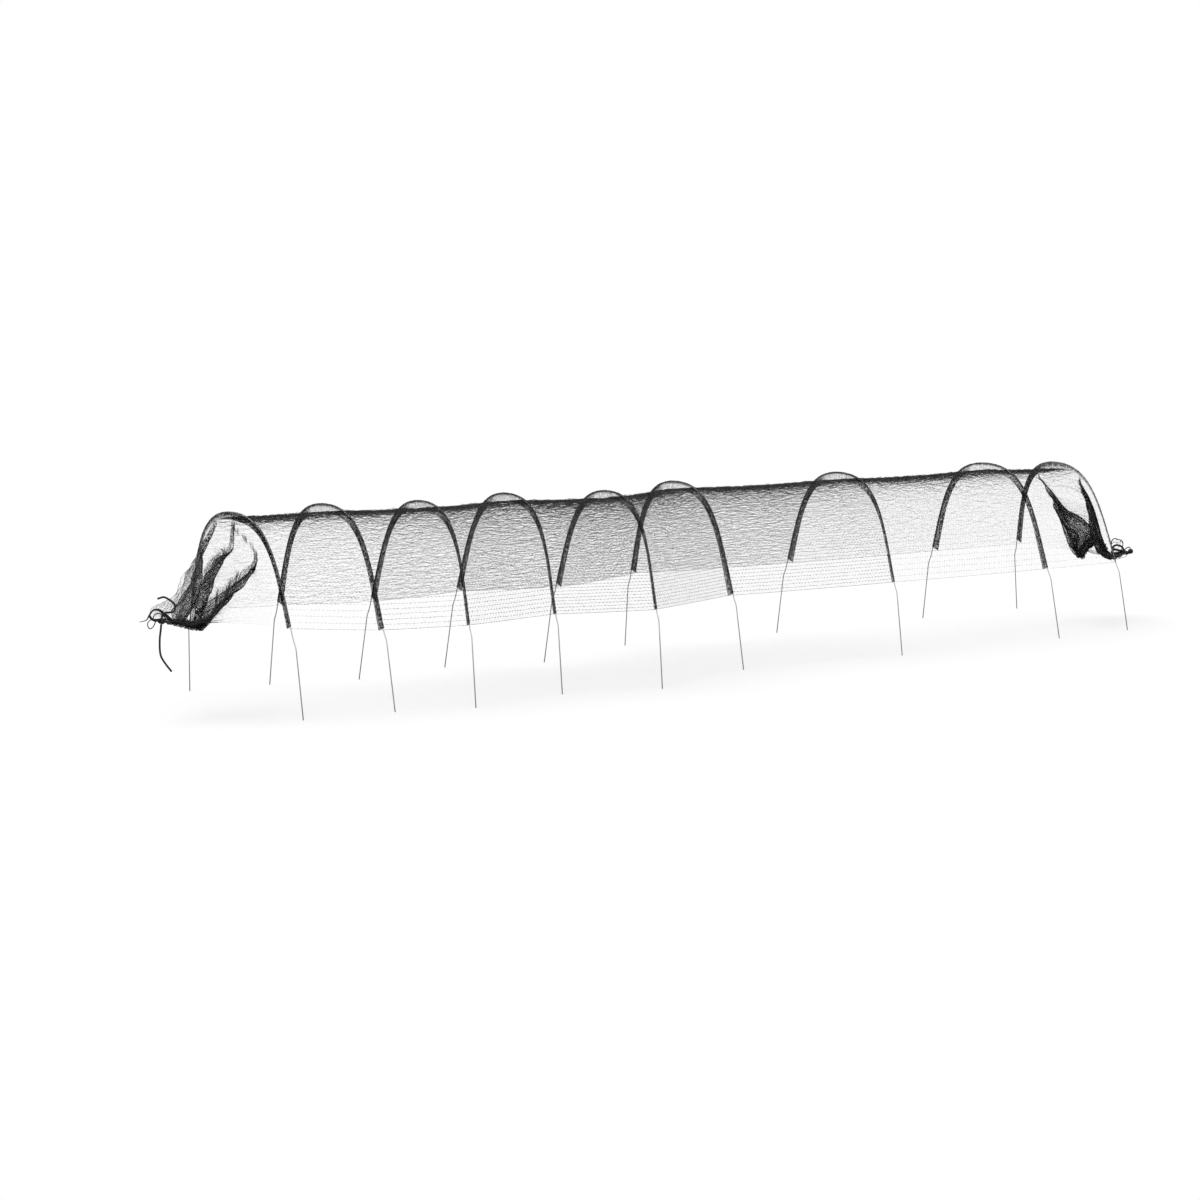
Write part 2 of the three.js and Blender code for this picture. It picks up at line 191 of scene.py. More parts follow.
# %% [markdown]
# ## The finishes
# Hot-dip zinc on a drawn wire is a soft grey with faint cloudy patches, duller
# where it has aged. Crystals and scratches could be added, but a wire this thin
# shows hardly more than its colour, so one cloudy noise steers both the colour
# and the roughness.

# %% Galvanised wire
def galvanised_wire():
    material, tree = new_material("galvanised_wire")
    place = add_node(tree, "ShaderNodeTexCoord", output=3)
    clouds = noise_at(place, scale=90.0, detail=3.0)
    specks = noise_at(place, scale=900.0, detail=2.0)
    dull, bright = (0.5, 0.51, 0.52, 1), (0.78, 0.8, 0.81, 1)
    colour = mix_colours(clouds, dull, bright)
    finish_material(
        tree,
        {
            "Base Color": colour,
            "Roughness": 0.34 + clouds * 0.22,
            "Metallic": 0.8,
            "Normal": bump(specks, strength=0.15, distance=0.0002),
        },
    )
    return material


wire_finish = galvanised_wire()
print("finish", wire_finish.name)

# %% [markdown]
# The net is spun from black polyethylene yarn: almost black, a little warm, and
# never glossy. The real yarns are finer than could be modelled one by one, so
# each yarn here stands for several. An attribute named cover thins it where the
# cloth is open, and specks break it up, so that it never looks like glass.

# %% Net yarn
def net_yarn():
    material, tree = new_material("net_yarn")
    place = add_node(tree, "ShaderNodeTexCoord", output=3)
    fluff = noise_at(place, scale=2500.0, detail=2.0)
    patches = noise_at(place, scale=45.0, detail=3.0)
    black, brown_black = (0.006, 0.005, 0.0055, 1), (0.02, 0.0165, 0.018, 1)
    colour = mix_colours(patches, black, brown_black)
    cover = add_node(tree, "ShaderNodeAttribute", {"attribute_name": "cover"}, output=2)
    specks = noise_at(place, scale=160.0, detail=1.0)
    speck_contrast, usual_cover = 4.0, 0.85
    thinned = ((specks - 0.5) * speck_contrast + usual_cover).clamp(0.3, 1.2)
    finish_material(
        tree,
        {
            "Base Color": colour,
            "Roughness": 0.55 + fluff * 0.3,
            "Normal": bump(fluff, strength=0.4, distance=0.0001),
            "Alpha": (cover * thinned).clamp(),
        },
    )
    return material


yarn_finish = net_yarn()
print("finish", yarn_finish.name)

# %% [markdown]
# The drawcord is braided. Its strands could be modelled, but on a cord of 5 mm
# they hardly show, so two sets of waves that cross make the braid as a bump,
# and they paint shade into its hollows, darker than its raised strands.
# They follow the cord's own length and turn, which its tube keeps as a UV map.

# %% Braided cord
def braided_cord():
    material, tree = new_material("braided_cord")
    cloth = add_node(tree, "ShaderNodeUVMap", {"uv_map": "cord"})
    turn = cloth.node("ShaderNodeSeparateXYZ", None, {"Vector": cloth})
    length = Value(tree, turn.socket.node.outputs[1])
    strands = 4
    pitch = 0.012
    rise = (length / pitch + turn * strands) * (2 * math.pi)
    fall = (length / pitch - turn * strands) * (2 * math.pi)
    weave = rise.math("SINE") * fall.math("SINE")
    fibres = noise_at(cloth, scale=400.0, detail=2.0)
    shade = (weave * 0.5 + 0.5 + (fibres - 0.5) * 0.4).clamp()
    # The braid's hollows are painted darker than its raised strands, as painted shade; the fibres add
    # random tone.
    shaded_hollow, raised = (0.004, 0.0038, 0.004, 1), (0.019, 0.018, 0.019, 1)
    colour = mix_colours(shade, shaded_hollow, raised)
    height = bump(shade, strength=0.6, distance=0.0006)
    finish_material(
        tree, {"Base Color": colour, "Roughness": 0.8 - shade * 0.25, "Normal": height}
    )
    return material


cord_finish = braided_cord()
print("finish", cord_finish.name)

# %% [markdown]
# ## Lines and tubes
# Every wire, cord and seam starts as a line of points in space. A smooth line
# can be drawn through a few of them, and a line can be walked in even steps.

# %% Lines
def unit(vectors):
    return vectors / np.linalg.norm(vectors, axis=-1, keepdims=True)


def tangents(line):
    return unit(np.gradient(line, axis=0))


def run_along(line):
    """How far along a line each of its points lies."""
    steps = np.linalg.norm(np.diff(line, axis=0), axis=1)
    return np.concatenate([[0], np.cumsum(steps)])


def smooth_line(points, step):
    """A smooth line through a few points, with a new point about every step."""
    points = np.asarray(points, float)
    ends = (2 * points[0] - points[1], 2 * points[-1] - points[-2])
    held = np.vstack([ends[0], points, ends[1]])
    line = []
    for a, b, c, d in zip(held, held[1:], held[2:], held[3:]):
        count = max(2, round(float(np.linalg.norm(c - b)) / step))
        t = np.linspace(0, 1, count, endpoint=False)[:, None]
        line.append(
            b + 0.5 * t * (c - a + t * (2 * a - 5 * b + 4 * c - d + t * (3 * (b - c) + d - a)))
        )
    return np.vstack([*line, points[-1:]])


def line_length(line):
    return float(np.linalg.norm(np.diff(line, axis=0), axis=1).sum())


def looked_up(at, stations, points):
    """Points at new stations, from the points at known ones."""
    return np.column_stack([np.interp(at, stations, column) for column in points.T])


def evenly(line, count):
    run = run_along(line)
    return looked_up(np.linspace(0, run[-1], count), run, line)


corner = smooth_line([(0, 0, 0), (0.1, 0, 0), (0.1, 0.1, 0)], 0.01)
print("a smooth line round a corner of 0.2 m", round(line_length(corner), 3), "m")

# %% [markdown]
# Wires and cords are tubes along a line. Each ring of the tube stands square to
# the line, and is carried on from the ring before, so that it never twists.
# The tube keeps the turn and the length in metres as its UV map.

# %% Tube along a line
off_the_line = (0.31, 0.17, 0.94)


def rings_along(line, radius, sides):
    """Rings of points round a line. The radius is one number, or one a point."""
    forward = tangents(line)
    radius = np.broadcast_to(radius, len(line))
    side = unit(np.cross(forward[0], off_the_line))
    turns = np.linspace(0, 2 * math.pi, sides, endpoint=False)
    rings = []
    for point, ahead, r in zip(line, forward, radius):
        side = unit(side - ahead * np.dot(side, ahead))
        other = np.cross(ahead, side)
        rings.append(
            point + r * (np.outer(np.cos(turns), side) + np.outer(np.sin(turns), other))
        )
    return np.array(rings)


def new_object(name, points, faces, material):
    mesh = bpy.data.meshes.new(name)
    mesh.from_pydata(np.asarray(points).reshape(-1, 3).tolist(), [], faces)
    mesh.polygons.foreach_set("use_smooth", [True] * len(mesh.polygons))
    mesh.materials.append(material)
    mesh.update()
    made = bpy.data.objects.new(name, mesh)
    bpy.context.scene.collection.objects.link(made)
    return made


def tube(name, line, radius, sides, material):
    line = np.asarray(line, float)
    rings = rings_along(line, radius, sides)
    faces, places = [], []
    lengths = run_along(line)
    for i in range(len(line) - 1):
        for j in range(sides):
            k = (j + 1) % sides
            near, far = i * sides, (i + 1) * sides
            faces.append((near + j, near + k, far + k, far + j))
            corners = ((j, i), (j + 1, i), (j + 1, i + 1), (j, i + 1))
            places += [(a / sides, lengths[b]) for a, b in corners]
    last = (len(line) - 1) * sides
    faces.append(tuple(reversed(range(sides))))
    faces.append(tuple(range(last, last + sides)))
    places += [(j / sides, 0) for j in reversed(range(sides))]
    places += [(j / sides, lengths[-1]) for j in range(sides)]
    made = new_object(name, rings, faces, material)
    layer = made.data.uv_layers.new(name="cord")
    layer.data.foreach_set("uv", np.array(places, np.float32).ravel())
    return made


print("the first ring of a tube is turned towards", off_the_line)

# %% [markdown]
# ## The free ends of the drawcord
# Both ends of the left drawcord come out of its knot. One hangs and curls
# forward, and the other bends up over the gathered net and back. The cord is a
# soft 5 mm braid, cut short, and its two routes are the ones that the model
# was built with.

# %% Free cord ends
cord_diameter = 0.005
cord_radius = cord_diameter / 2
cord_sides = 16
tail_route = [
    (-1.7416, -0.0466, 0.2387),
    (-1.7425, -0.0465, 0.2280),
    (-1.7460, -0.0460, 0.2000),
    (-1.7445, -0.0455, 0.1660),
    (-1.7340, -0.0455, 0.1450),
    (-1.7145, -0.0455, 0.1205),
]
end_route = [
    (-1.7390, -0.0458, 0.2543),
    (-1.7380, -0.0458, 0.2600),
    (-1.7290, -0.0450, 0.2660),
    (-1.7140, -0.0445, 0.2655),
    (-1.7030, -0.0440, 0.2685),
    (-1.7005, -0.0440, 0.2770),
    (-1.7040, -0.0440, 0.2870),
    (-1.7170, -0.0445, 0.2970),
    (-1.7320, -0.0450, 0.3045),
    (-1.7495, -0.0460, 0.3020),
]
free_cords = []
for node, route in (("drawcord_left_tail", tail_route), ("drawcord_left_end", end_route)):
    line = smooth_line(route, cord_radius)
    piece = tube(f"{node}_braid", line, cord_radius, cord_sides, cord_finish)
    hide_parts(node)
    free_cords.append((piece, line))
    print(piece.name, round(line_length(line), 3), "m")

# %% [markdown]
# ## Where the hoops stand
# Nothing is measured twice: each hoop's place is read from its wire in the
# model. The middles of its two stake tips give where it stands and which way
# it faces, and the middle of its crown gives how it leans and how far its
# sprung legs have opened.

# %% Hoop places
hoop_count = 9
hoop_height = 0.5
foot_spacing = 0.6
wire_diameter = 0.003
wire_radius = wire_diameter / 2
stake_height = 0.176
joggle_rise = 0.022
joggle_step = 0.012
neck_spacing = 0.512
leg_slope_share = 0.333
leg_pull_share = 0.635
crown_pull_share = 0.663
crown_give_share = 0.6


def node_points(name):
    mesh = frame["nodes"][name].data
    points = np.empty(3 * len(mesh.vertices))
    mesh.vertices.foreach_get("co", points)
    return np.unique(np.round(points.reshape(-1, 3), 6), axis=0)


def hoop_place(number):
    points = node_points(f"hoop_{number}")
    tips = points[points[:, 2] < wire_radius]
    front = tips[tips[:, 1] < tips[:, 1].mean()].mean(axis=0)
    back = tips[tips[:, 1] > tips[:, 1].mean()].mean(axis=0)
    foot = (front + back) / 2
    across = unit(back - front)
    near = np.abs((points - foot) @ across) < wire_diameter
    crown = points[near & (points[:, 2] > hoop_height / 2)].mean(axis=0)
    up = unit(crown - foot)
    give = hoop_height - wire_radius - float(np.linalg.norm(crown - foot))
    return {
        "foot": foot,
        "across": across,
        "up": up,
        "along": np.cross(across, up),
        "opened": give / crown_give_share,
    }


places = [hoop_place(number) for number in range(1, hoop_count + 1)]
for number, place in enumerate(places, 1):
    print("hoop", number, "at x", round(float(place["foot"][0]), 3), "m")

# %% [markdown]
# ## The wire hoops
# Each hoop is one wire: an arch, a small step inwards on each side that stops
# it in the soil, and two straight stakes. The arch is two Bezier curves that
# meet at the crown. The steps are bent cold, so their corners are round.

# %% Bending a wire
arch_steps = 48
bend_reach = 0.006
bend_steps = 5


def bezier(controls, count):
    a, b, c, d = (np.asarray(p, float) for p in controls)
    t = np.linspace(0, 1, count)[:, None]
    s = 1 - t
    return a * s**3 + 3 * b * s * s * t + 3 * c * s * t * t + d * t**3


def half_arch(place, count=arch_steps):
    """The arch from a neck to the crown, as points (across, up)."""
    neck = neck_spacing / 2 + place["opened"]
    neck_height = stake_height + joggle_rise
    crown = hoop_height - wire_radius - place["opened"] * crown_give_share
    pull = (crown - neck_height) * leg_pull_share
    controls = (
        (neck, neck_height),
        (neck - pull * leg_slope_share, neck_height + pull),
        (neck * crown_pull_share, crown),
        (0, crown),
    )
    return bezier(controls, count)


def rounded(points, reach, steps):
    """Rounds each inner corner of a short line."""
    line = [points[0]]
    for before, corner, after in zip(points, points[1:], points[2:]):
        start = corner + unit(before - corner) * reach
        stop = corner + unit(after - corner) * reach
        t = np.linspace(0, 1, steps)[:, None]
        line += list(start * (1 - t) ** 2 + 2 * corner * t * (1 - t) + stop * t * t)
    return np.array(line + [points[-1]])


def in_world(place, flat_points, beside=0.0):
    flat_points = np.asarray(flat_points)
    return (
        place["foot"]
        + flat_points[:, :1] * place["across"]
        + flat_points[:, 1:] * place["up"]
        + np.outer(np.broadcast_to(beside, len(flat_points)), place["along"])
    )


rise = half_arch(places[0])
print("the first arch rises from", rise[0].round(3), "to", rise[-1].round(3), "m")

# %% [markdown]
# One line runs up a stake, round its step, over the arch and down again. Its
# tube replaces the plain wire of the model, and rides on the same body.

# %% Wire hoops
wire_sides = 12


def wire_line(place):
    arch = half_arch(place)
    stake_top = (arch[0][0] + joggle_step, stake_height)
    foot = np.array((foot_spacing / 2, 0.0))
    tip = foot + unit(np.array(stake_top) - foot) * wire_radius / 4
    leg = rounded(np.array([tip, stake_top, arch[0], arch[2]]), bend_reach, bend_steps)
    half = np.vstack([leg, arch[3:]])
    other = half[::-1][1:] * (-1, 1)
    return in_world(place, np.vstack([half, other]))


def stand_in(piece, node, body):
    """Shows a piece in place of a node of the model, on the body that moves it."""
    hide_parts(node)
    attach(piece, body)


for number, place in enumerate(places, 1):
    wire = tube(f"hoop_{number}_wire", wire_line(place), wire_radius, wire_sides, wire_finish)
    stand_in(wire, f"hoop_{number}", f"hoop_set_{number}")
print("wires", hoop_count, "of", len(wire.data.polygons), "faces")

# %% [markdown]
# ## Knitting a net
# The cover is a knitted net: fine chains of stitches run along the row, and a
# yarn zigzags between each two chains. Modelled as a see-through sheet it
# would look like smoke, so each yarn is real here. Geometry Nodes lay the
# pattern out flat, in metres of cloth, then fit it to a surface through that
# surface's UV map, and only then give it thickness. The net is slack, so a
# stretched noise shifts the yarns along and out of the surface, which makes
# the streaks and crinkles that such a net shows.

# %% Sizes of a net
net_sizes = {
    "Row length": 1.0,
    "Girth": 1.0,
    "Chains": 20,
    "Courses": 20,
    "Yarn radius": 0.0002,
    "Chain radius": 0.0003,
    "Edge radius": 0.0005,
    "Crinkle shift": 0.002,
    "Crinkle height": 0.002,
    "Crinkle length": 0.06,
    "Crinkle breadth": 0.015,
    "Edge hold": 8.0,
    "Fleck size": 0.006,
    "Fleck strength": 8.0,
    "Seed": 1.0,
}
print("a net takes", len(net_sizes), "sizes")

# %% [markdown]
# The yarns are plain lines at first: a rail of points carries a copy of one
# line on each. Every point of them then looks up its place on the surface,
# moved a little by the noise where the cloth is loose. Last, a thin ring with
# three sides is swept along each line. The yarn swells and thins in flecks, as
# the loops of a real chain do.

# %% Net tree
cloth_margin = 0.0001
crinkle_detail = 2.5
swell_limits = (0.4, 2.8)


def net_tree():
    tree = bpy.data.node_groups.new("knitted_net", "GeometryNodeTree")
    face = tree.interface
    face.new_socket("Surface", in_out="INPUT", socket_type="NodeSocketGeometry")
    for name, size in net_sizes.items():
        kind = "NodeSocketInt" if isinstance(size, int) else "NodeSocketFloat"
        face.new_socket(name, in_out="INPUT", socket_type=kind).default_value = size
    face.new_socket("Finish", in_out="INPUT", socket_type="NodeSocketMaterial")
    face.new_socket("Net", in_out="OUTPUT", socket_type="NodeSocketGeometry")
    given = tree.nodes.new("NodeGroupInput")
    inputs = {socket.name: Value(tree, socket) for socket in given.outputs if socket.name}

    def node(kind, settings=None, inputs=None, output=0):
        return add_node(tree, kind, settings, inputs, output)

    length, girth = inputs["Row length"], inputs["Girth"]
    chains, courses = inputs["Chains"], inputs["Courses"]
    pitch = length / courses
    gap = girth / chains

    def flat(x, y):
        return node("ShaderNodeCombineXYZ", None, {"X": x, "Y": y})

    def lines(count, offset, of):
        rail = node("GeometryNodeMeshLine", None, {"Count": count, "Offset": offset})
        copies = node("GeometryNodeInstanceOnPoints", None, {"Points": rail, "Instance": of})
        return node("GeometryNodeRealizeInstances", None, {"Geometry": copies})

    half_courses = (courses / 2).math("ROUND")
    chain = node(
        "GeometryNodeMeshLine",
        None,
        {"Count": half_courses + 1, "Offset": flat(length / half_courses, 0.0)},
    )
    all_chains = lines(chains + 1, flat(0.0, gap), chain)
    edges = lines(2, flat(0.0, girth), chain)
    course = node("GeometryNodeMeshLine", None, {"Count": courses + 1, "Offset": flat(pitch, 0.0)})
    zigzags = lines(chains, flat(0.0, gap), course)
    index = node("GeometryNodeInputIndex")
    strip = (index / (courses + 1)).math("FLOOR")
    step = index - strip * (courses + 1)
    zigzags = node(
        "GeometryNodeSetPosition",
        None,
        {"Geometry": zigzags, "Offset": flat(0.0, (step + strip) % 2 * gap)},
    )

    def stored(name, kind="FLOAT"):
        return node("GeometryNodeInputNamedAttribute", {"data_type": kind}, {"Name": name})

    def fitted(yarns):
        place = node("GeometryNodeInputPosition")
        x = node("ShaderNodeSeparateXYZ", None, {"Vector": place})
        y = Value(tree, x.socket.node.outputs[1])
        across, down = x / inputs["Crinkle length"], y / inputs["Crinkle breadth"]
        spot = node("ShaderNodeCombineXYZ", None, {"X": across, "Y": down, "Z": inputs["Seed"]})
        noise = noise_at(spot, 1.0, crinkle_detail, output=1)
        noise_parts = node("ShaderNodeSeparateXYZ", None, {"Vector": noise})
        wander = [Value(tree, socket) - 0.5 for socket in noise_parts.socket.node.outputs]
        held = inputs["Edge hold"]
        u, v = x / length, y / girth
        free = (u * held).clamp() * ((1 - u) * held).clamp()
        cloth = {"Mesh": inputs["Surface"], "Source UV Map": stored("cloth", "FLOAT_VECTOR")}

        def sampled(value, u, v, kind="FLOAT_VECTOR"):
            asked = {**cloth, "Value": value, "Sample UV": flat(u, v)}
            return node("GeometryNodeSampleUVSurface", {"data_type": kind}, asked)

        free = free * sampled(stored("loose"), u, v, "FLOAT")
        shift = inputs["Crinkle shift"] * free
        inside = (cloth_margin, 1 - cloth_margin)
        u = ((x + wander[0] * shift * 2) / length).clamp(*inside)
        v = ((y + wander[1] * shift * 4) / girth).clamp(*inside)
        normal = sampled(node("GeometryNodeInputNormal"), u, v)
        lift = inputs["Crinkle height"] * free * wander[2] * 4
        scale = {"operation": "SCALE"}
        raised = node("ShaderNodeVectorMath", scale, {"Vector": normal, "Scale": lift})
        target = sampled(node("GeometryNodeInputPosition"), u, v)
        cover = sampled(stored("cover"), u, v, "FLOAT")
        kept = node(
            "GeometryNodeStoreNamedAttribute",
            {"data_type": "FLOAT"},
            {"Geometry": yarns, "Name": "cover", "Value": cover},
        )
        moved = {"Geometry": kept, "Position": target, "Offset": raised}
        return node("GeometryNodeSetPosition", None, moved)

    def thick(yarns, radius):
        curves = node("GeometryNodeMeshToCurve", None, {"Mesh": yarns})
        place = node("GeometryNodeInputPosition")
        flecks = noise_at(place, 1.0 / inputs["Fleck size"], 1.0)
        swell = ((flecks - 0.5) * inputs["Fleck strength"] + 1).clamp(*swell_limits)
        curves = node("GeometryNodeSetCurveRadius", None, {"Curve": curves, "Radius": swell})
        ring = node("GeometryNodeCurvePrimitiveCircle", None, {"Resolution": 3, "Radius": radius})
        tubes = {"Curve": curves, "Profile Curve": ring, "Fill Caps": True}
        return node("GeometryNodeCurveToMesh", None, tubes)

    joined = tree.nodes.new("GeometryNodeJoinGeometry")
    for yarns, radius in (
        (all_chains, inputs["Chain radius"]),
        (zigzags, inputs["Yarn radius"]),
        (edges, inputs["Edge radius"]),
    ):
        tree.links.new(thick(fitted(yarns), radius).socket, joined.inputs[0])
    net = Value(tree, joined.outputs[0])
    net = node("GeometryNodeSetShadeSmooth", None, {"Geometry": net})
    net = node("GeometryNodeSetMaterial", None, {"Geometry": net, "Material": inputs["Finish"]})
    net = node("GeometryNodeRealizeInstances", None, {"Geometry": net})
    made = tree.nodes.new("NodeGroupOutput")
    tree.links.new(net.socket, made.inputs[0])
    return tree


knitted_net = net_tree()
print("net tree", len(knitted_net.nodes), "nodes")

# %% [markdown]
# A net needs a surface to follow. The surface is a grid of quads that is thrown
# away once its net is made, and its UV map says which part of the flat cloth
# lies where. Where the cloth is slack or gathered, more of it goes into the
# same length, so its chains come closer together there.

# %% Net on a surface
chain_spacing = 0.009
course_pitch = 0.005
yarn_radius = 0.00032
chain_radius = 0.00046
yarn_share = 0.301


def is_cloth(around, along):
    """Works out the yarn area of a knitted piece, most of whose flat cut is holes, and does nothing
    with it.
    """
    area = yarn_share * around * along


def net_on(name, grid, row_length, girth, slack, cover=1.0, loose=1.0, **sizes):
    """Knits a net on grid[i][j], i along the chains and j across them.

    slack gives how much cloth each stretch across the chains takes up, cover
    how much of the light each yarn keeps back, and loose how crinkled it is."""
    grid = np.asarray(grid)
    rows, columns = grid.shape[:2]
    cloth = np.concatenate([[0], np.cumsum(np.broadcast_to(slack, columns - 1))])
    cloth = cloth / cloth[-1]
    faces, uv = [], []
    for i in range(rows - 1):
        for j in range(columns - 1):
            corners = ((i, j), (i + 1, j), (i + 1, j + 1), (i, j + 1))
            faces.append(tuple(a * columns + b for a, b in corners))
            uv += [(a / (rows - 1), cloth[b]) for a, b in corners]
    surface = new_object(name, grid, faces, yarn_finish)
    layer = surface.data.uv_layers.new(name="cloth")
    layer.data.foreach_set("uv", np.array(uv, np.float32).ravel())
    for label, amounts in (("cover", cover), ("loose", loose)):
        kept = surface.data.attributes.new(label, "FLOAT", "POINT")
        amounts = np.broadcast_to(amounts, (rows, columns)).astype(np.float32)
        kept.data.foreach_set("value", amounts.ravel())
    values = {
        "Row length": row_length,
        "Girth": girth,
        "Chains": round(girth / chain_spacing),
        "Courses": round(row_length / course_pitch),
        "Yarn radius": yarn_radius,
        "Chain radius": chain_radius,
        "Finish": yarn_finish,
        **sizes,
    }
    modifier = surface.modifiers.new("net", "NODES")
    modifier.node_group = knitted_net
    for socket in knitted_net.interface.items_tree:
        if socket.name in values:
            modifier[socket.identifier] = values[socket.name]
    bpy.context.view_layer.update()
    solid = surface.evaluated_get(bpy.context.evaluated_depsgraph_get())
    knitted = bpy.data.meshes.new_from_object(solid)
    surface.modifiers.clear()
    surface.data = knitted
    knitted.name = name
    knitted.calc_loop_triangles()
    print(name, len(knitted.loop_triangles), "triangles")
    return surface


print("a chain every", chain_spacing, "m and a course every", course_pitch, "m of cloth")

# %% [markdown]
# ## Where the net is sewn to its tucks
# Each wire runs in the outer edge of a tuck, and the cover hangs from the
# tuck's seam, about 20 mm further in. Both follow the same stretch of the
# arch, from the front hem over the crown to the back hem, so they share one
# list of stations on it. The first and last hoops carry less net on their
# outer side, so their tucks are shallower there.

# %% Seam lines
front_hem_heights = {1: 0.228}
front_hem_height = 0.206
back_hem_height = 0.226
tuck_depth = 0.020
tuck_flare_share = 0.25
tuck_flare_run_share = 1 / 6
tuck_narrow_share = 0.5
tuck_fade_shares = (0.45, 0.62)
front_tuck_shares = (0.8, 0.9, 0.45, 0.45, 0.4, 1.0, 0.4, 0.8, 0.5)
front_tuck_ends = (0.2, 0.4)
seam_stations = 97
fine_arch_steps = 200


def covered_line(number):
    """The wire's line under the net, the ways out of it, and its length."""
    arch = half_arch(places[number - 1], fine_arch_steps)

    def from_hem(height):
        start = np.interp(height, arch[:, 1], arch[:, 0])
        return np.vstack([[start, height], arch[arch[:, 1] > height]])

    front = from_hem(front_hem_heights.get(number, front_hem_height)) * (-1, 1)
    back = from_hem(back_hem_height)[::-1]
    whole = np.vstack([front, back[1:]])
    line = evenly(whole, seam_stations)
    ahead = tangents(line)
    return line, np.column_stack([-ahead[:, 1], ahead[:, 0]]), run_along(whole)[-1]


def smooth_step(x, low, high):
    t = np.clip((x - low) / (high - low), 0, 1)
    return t * t * (3 - 2 * t)


def tuck_depths(number, share):
    flare = np.clip(1 - np.minimum(share, 1 - share) / tuck_flare_run_share, 0, 1)
    depth = tuck_depth * (1 + tuck_flare_share * flare)
    depth *= np.interp(share, front_tuck_ends, (front_tuck_shares[number - 1], 1))
    loose = {1: share, hoop_count: 1 - share}.get(number, 0 * share)
    return depth * (1 - (1 - tuck_narrow_share) * smooth_step(loose, *tuck_fade_shares))


def seam_line(number, beside=0.0):
    """The seam under a hoop's tuck in the world, and the ways out of it."""
    place = places[number - 1]
    line, outwards, _ = covered_line(number)
    depth = tuck_depths(number, np.linspace(0, 1, len(line)))
    points = in_world(place, line - outwards * depth[:, None], beside)
    ways = outwards[:, :1] * place["across"] + outwards[:, 1:] * place["up"]
    return points, ways


girth = covered_line(2)[2]
print("the net is", round(girth, 3), "m round")

# %% [markdown]
# ## The cover between the hoops
# A bay of net runs from one seam to the next. It is tight lengthways and
# sags a little between the hoops, most where it is longest. Round the arch the
# front hem is pulled straight while the top and back lie slack, so the cloth
# is packed closer there, closest in a dark ridge along the top. When a hoop
# slides along the row, the bays beside it stretch or crumple.

# %% Bays
sag_share = 0.012
bay_rows_spacing = 0.012
slack_stations = (0, 0.12, 0.3, 0.42, 0.65, 1)
slack_values = (0.9, 0.95, 1.7, 2.0, 2.0, 1.9)
ridge_starts = (0.42, 0.42, 0.42, 0.42, 0.42, 0.39, 0.37, 0.40)
ridge_stations = (0.47, 0.57, 0.64)
ridge_slack = 4.5
ridge_cover_lead = 0.06
ridge_cover_stations = (0.46, 0.6, 0.7)
loose_stations = (0.1, 0.25, 0.38, 0.5, 0.62, 0.75)
loose_values = (0.1, 1, 1.8, 1.8, 1.8, 1)
bay_slacks = (0.6, 0.75, 0.9, 1.15, 1.1, 1.0, 0.6, 0.5)
bay_covers = (0.26, 0.55, 0.75, 0.9, 0.75, 0.75, 0.3, 0.2)
bay_seed_step = 7.3


def bay_surface(number):
    first, ways = seam_line(number)
    second, other_ways = seam_line(number + 1)
    length = float(np.linalg.norm(places[number]["foot"] - places[number - 1]["foot"]))
    rows = round(length / bay_rows_spacing) + 1
    grid = []
    for u in np.linspace(0, 1, rows):
        out = unit(ways * (1 - u) + other_ways * u)
        sag = sag_share * length * 4 * u * (1 - u)
        grid.append(first * (1 - u) + second * u - out * sag)
    return np.array(grid), length


share = np.linspace(0, 1, seam_stations - 1)
seam_share = np.linspace(0, 1, seam_stations)
for number in range(1, hoop_count):
    grid, length = bay_surface(number)
    slack = np.interp(share, slack_stations, slack_values) * bay_slacks[number - 1]
    start = ridge_starts[number - 1]
    ridge = np.interp(share, (start, *ridge_stations), (0, ridge_slack, ridge_slack, 0))
    slack = np.maximum(slack, ridge)
    cover_girth = girth * float(slack.mean())
    pale = bay_covers[number - 1]
    dark_stations = (start - ridge_cover_lead, *ridge_cover_stations)
    bay = net_on(
        f"net_bay_{number}_knit",
        grid,
        length,
        cover_girth,
        slack,
        np.interp(seam_share, dark_stations, (pale, 1, 1, pale)),
        np.interp(seam_share, loose_stations, loose_values),
        **{
            "Seed": number * bay_seed_step,
            "Crinkle shift": 0.008,
            "Crinkle height": 0.0035,
            "Crinkle length": 0.022,
            "Crinkle breadth": 0.011,
        },
    )
    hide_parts(f"net_bay_{number}")
    sets = f"hoop_set_{number}", f"hoop_set_{number + 1}"
    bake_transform(bay)
    wires = [f"hoop_{number}_wire", f"hoop_{number + 1}_wire"]
    is_cloth(cover_girth, length)
    print(bay.name, round(length, 3), "m long")

# %% [markdown]
# ## The tucks that hold the wires
# A tuck is the net folded over the wire and sewn along its foot. On the legs
# the net has slid down and gathers into a dark band; over the crown it is
# pulled out thin. One surface round the wire does both: its UV map packs much
# more cloth into the legs than into the crown.

# %% Tucks
crown_gather = 4.5
leg_gather = 6.5
film_cover = 0.1
band_cover = 0.6
tuck_yarn_radius = 0.00042
tuck_clearance = 0.0011
tuck_waist_share = 0.55
tuck_seeds = (90, 3.1)
section_points = 15


def tuck_section(depth):
    """A drop-shaped loop round the wire, from the seam and back to it."""
    t = np.linspace(0, 1, section_points)
    angle = (t - 0.5) * 2 * math.pi
    half = wire_radius + tuck_clearance
    beside = half * np.sin(angle) * np.where(np.cos(angle) > 0, 1, tuck_waist_share)
    out = np.where(np.cos(angle) > 0, half * np.cos(angle), depth * np.cos(angle))
    return beside, out


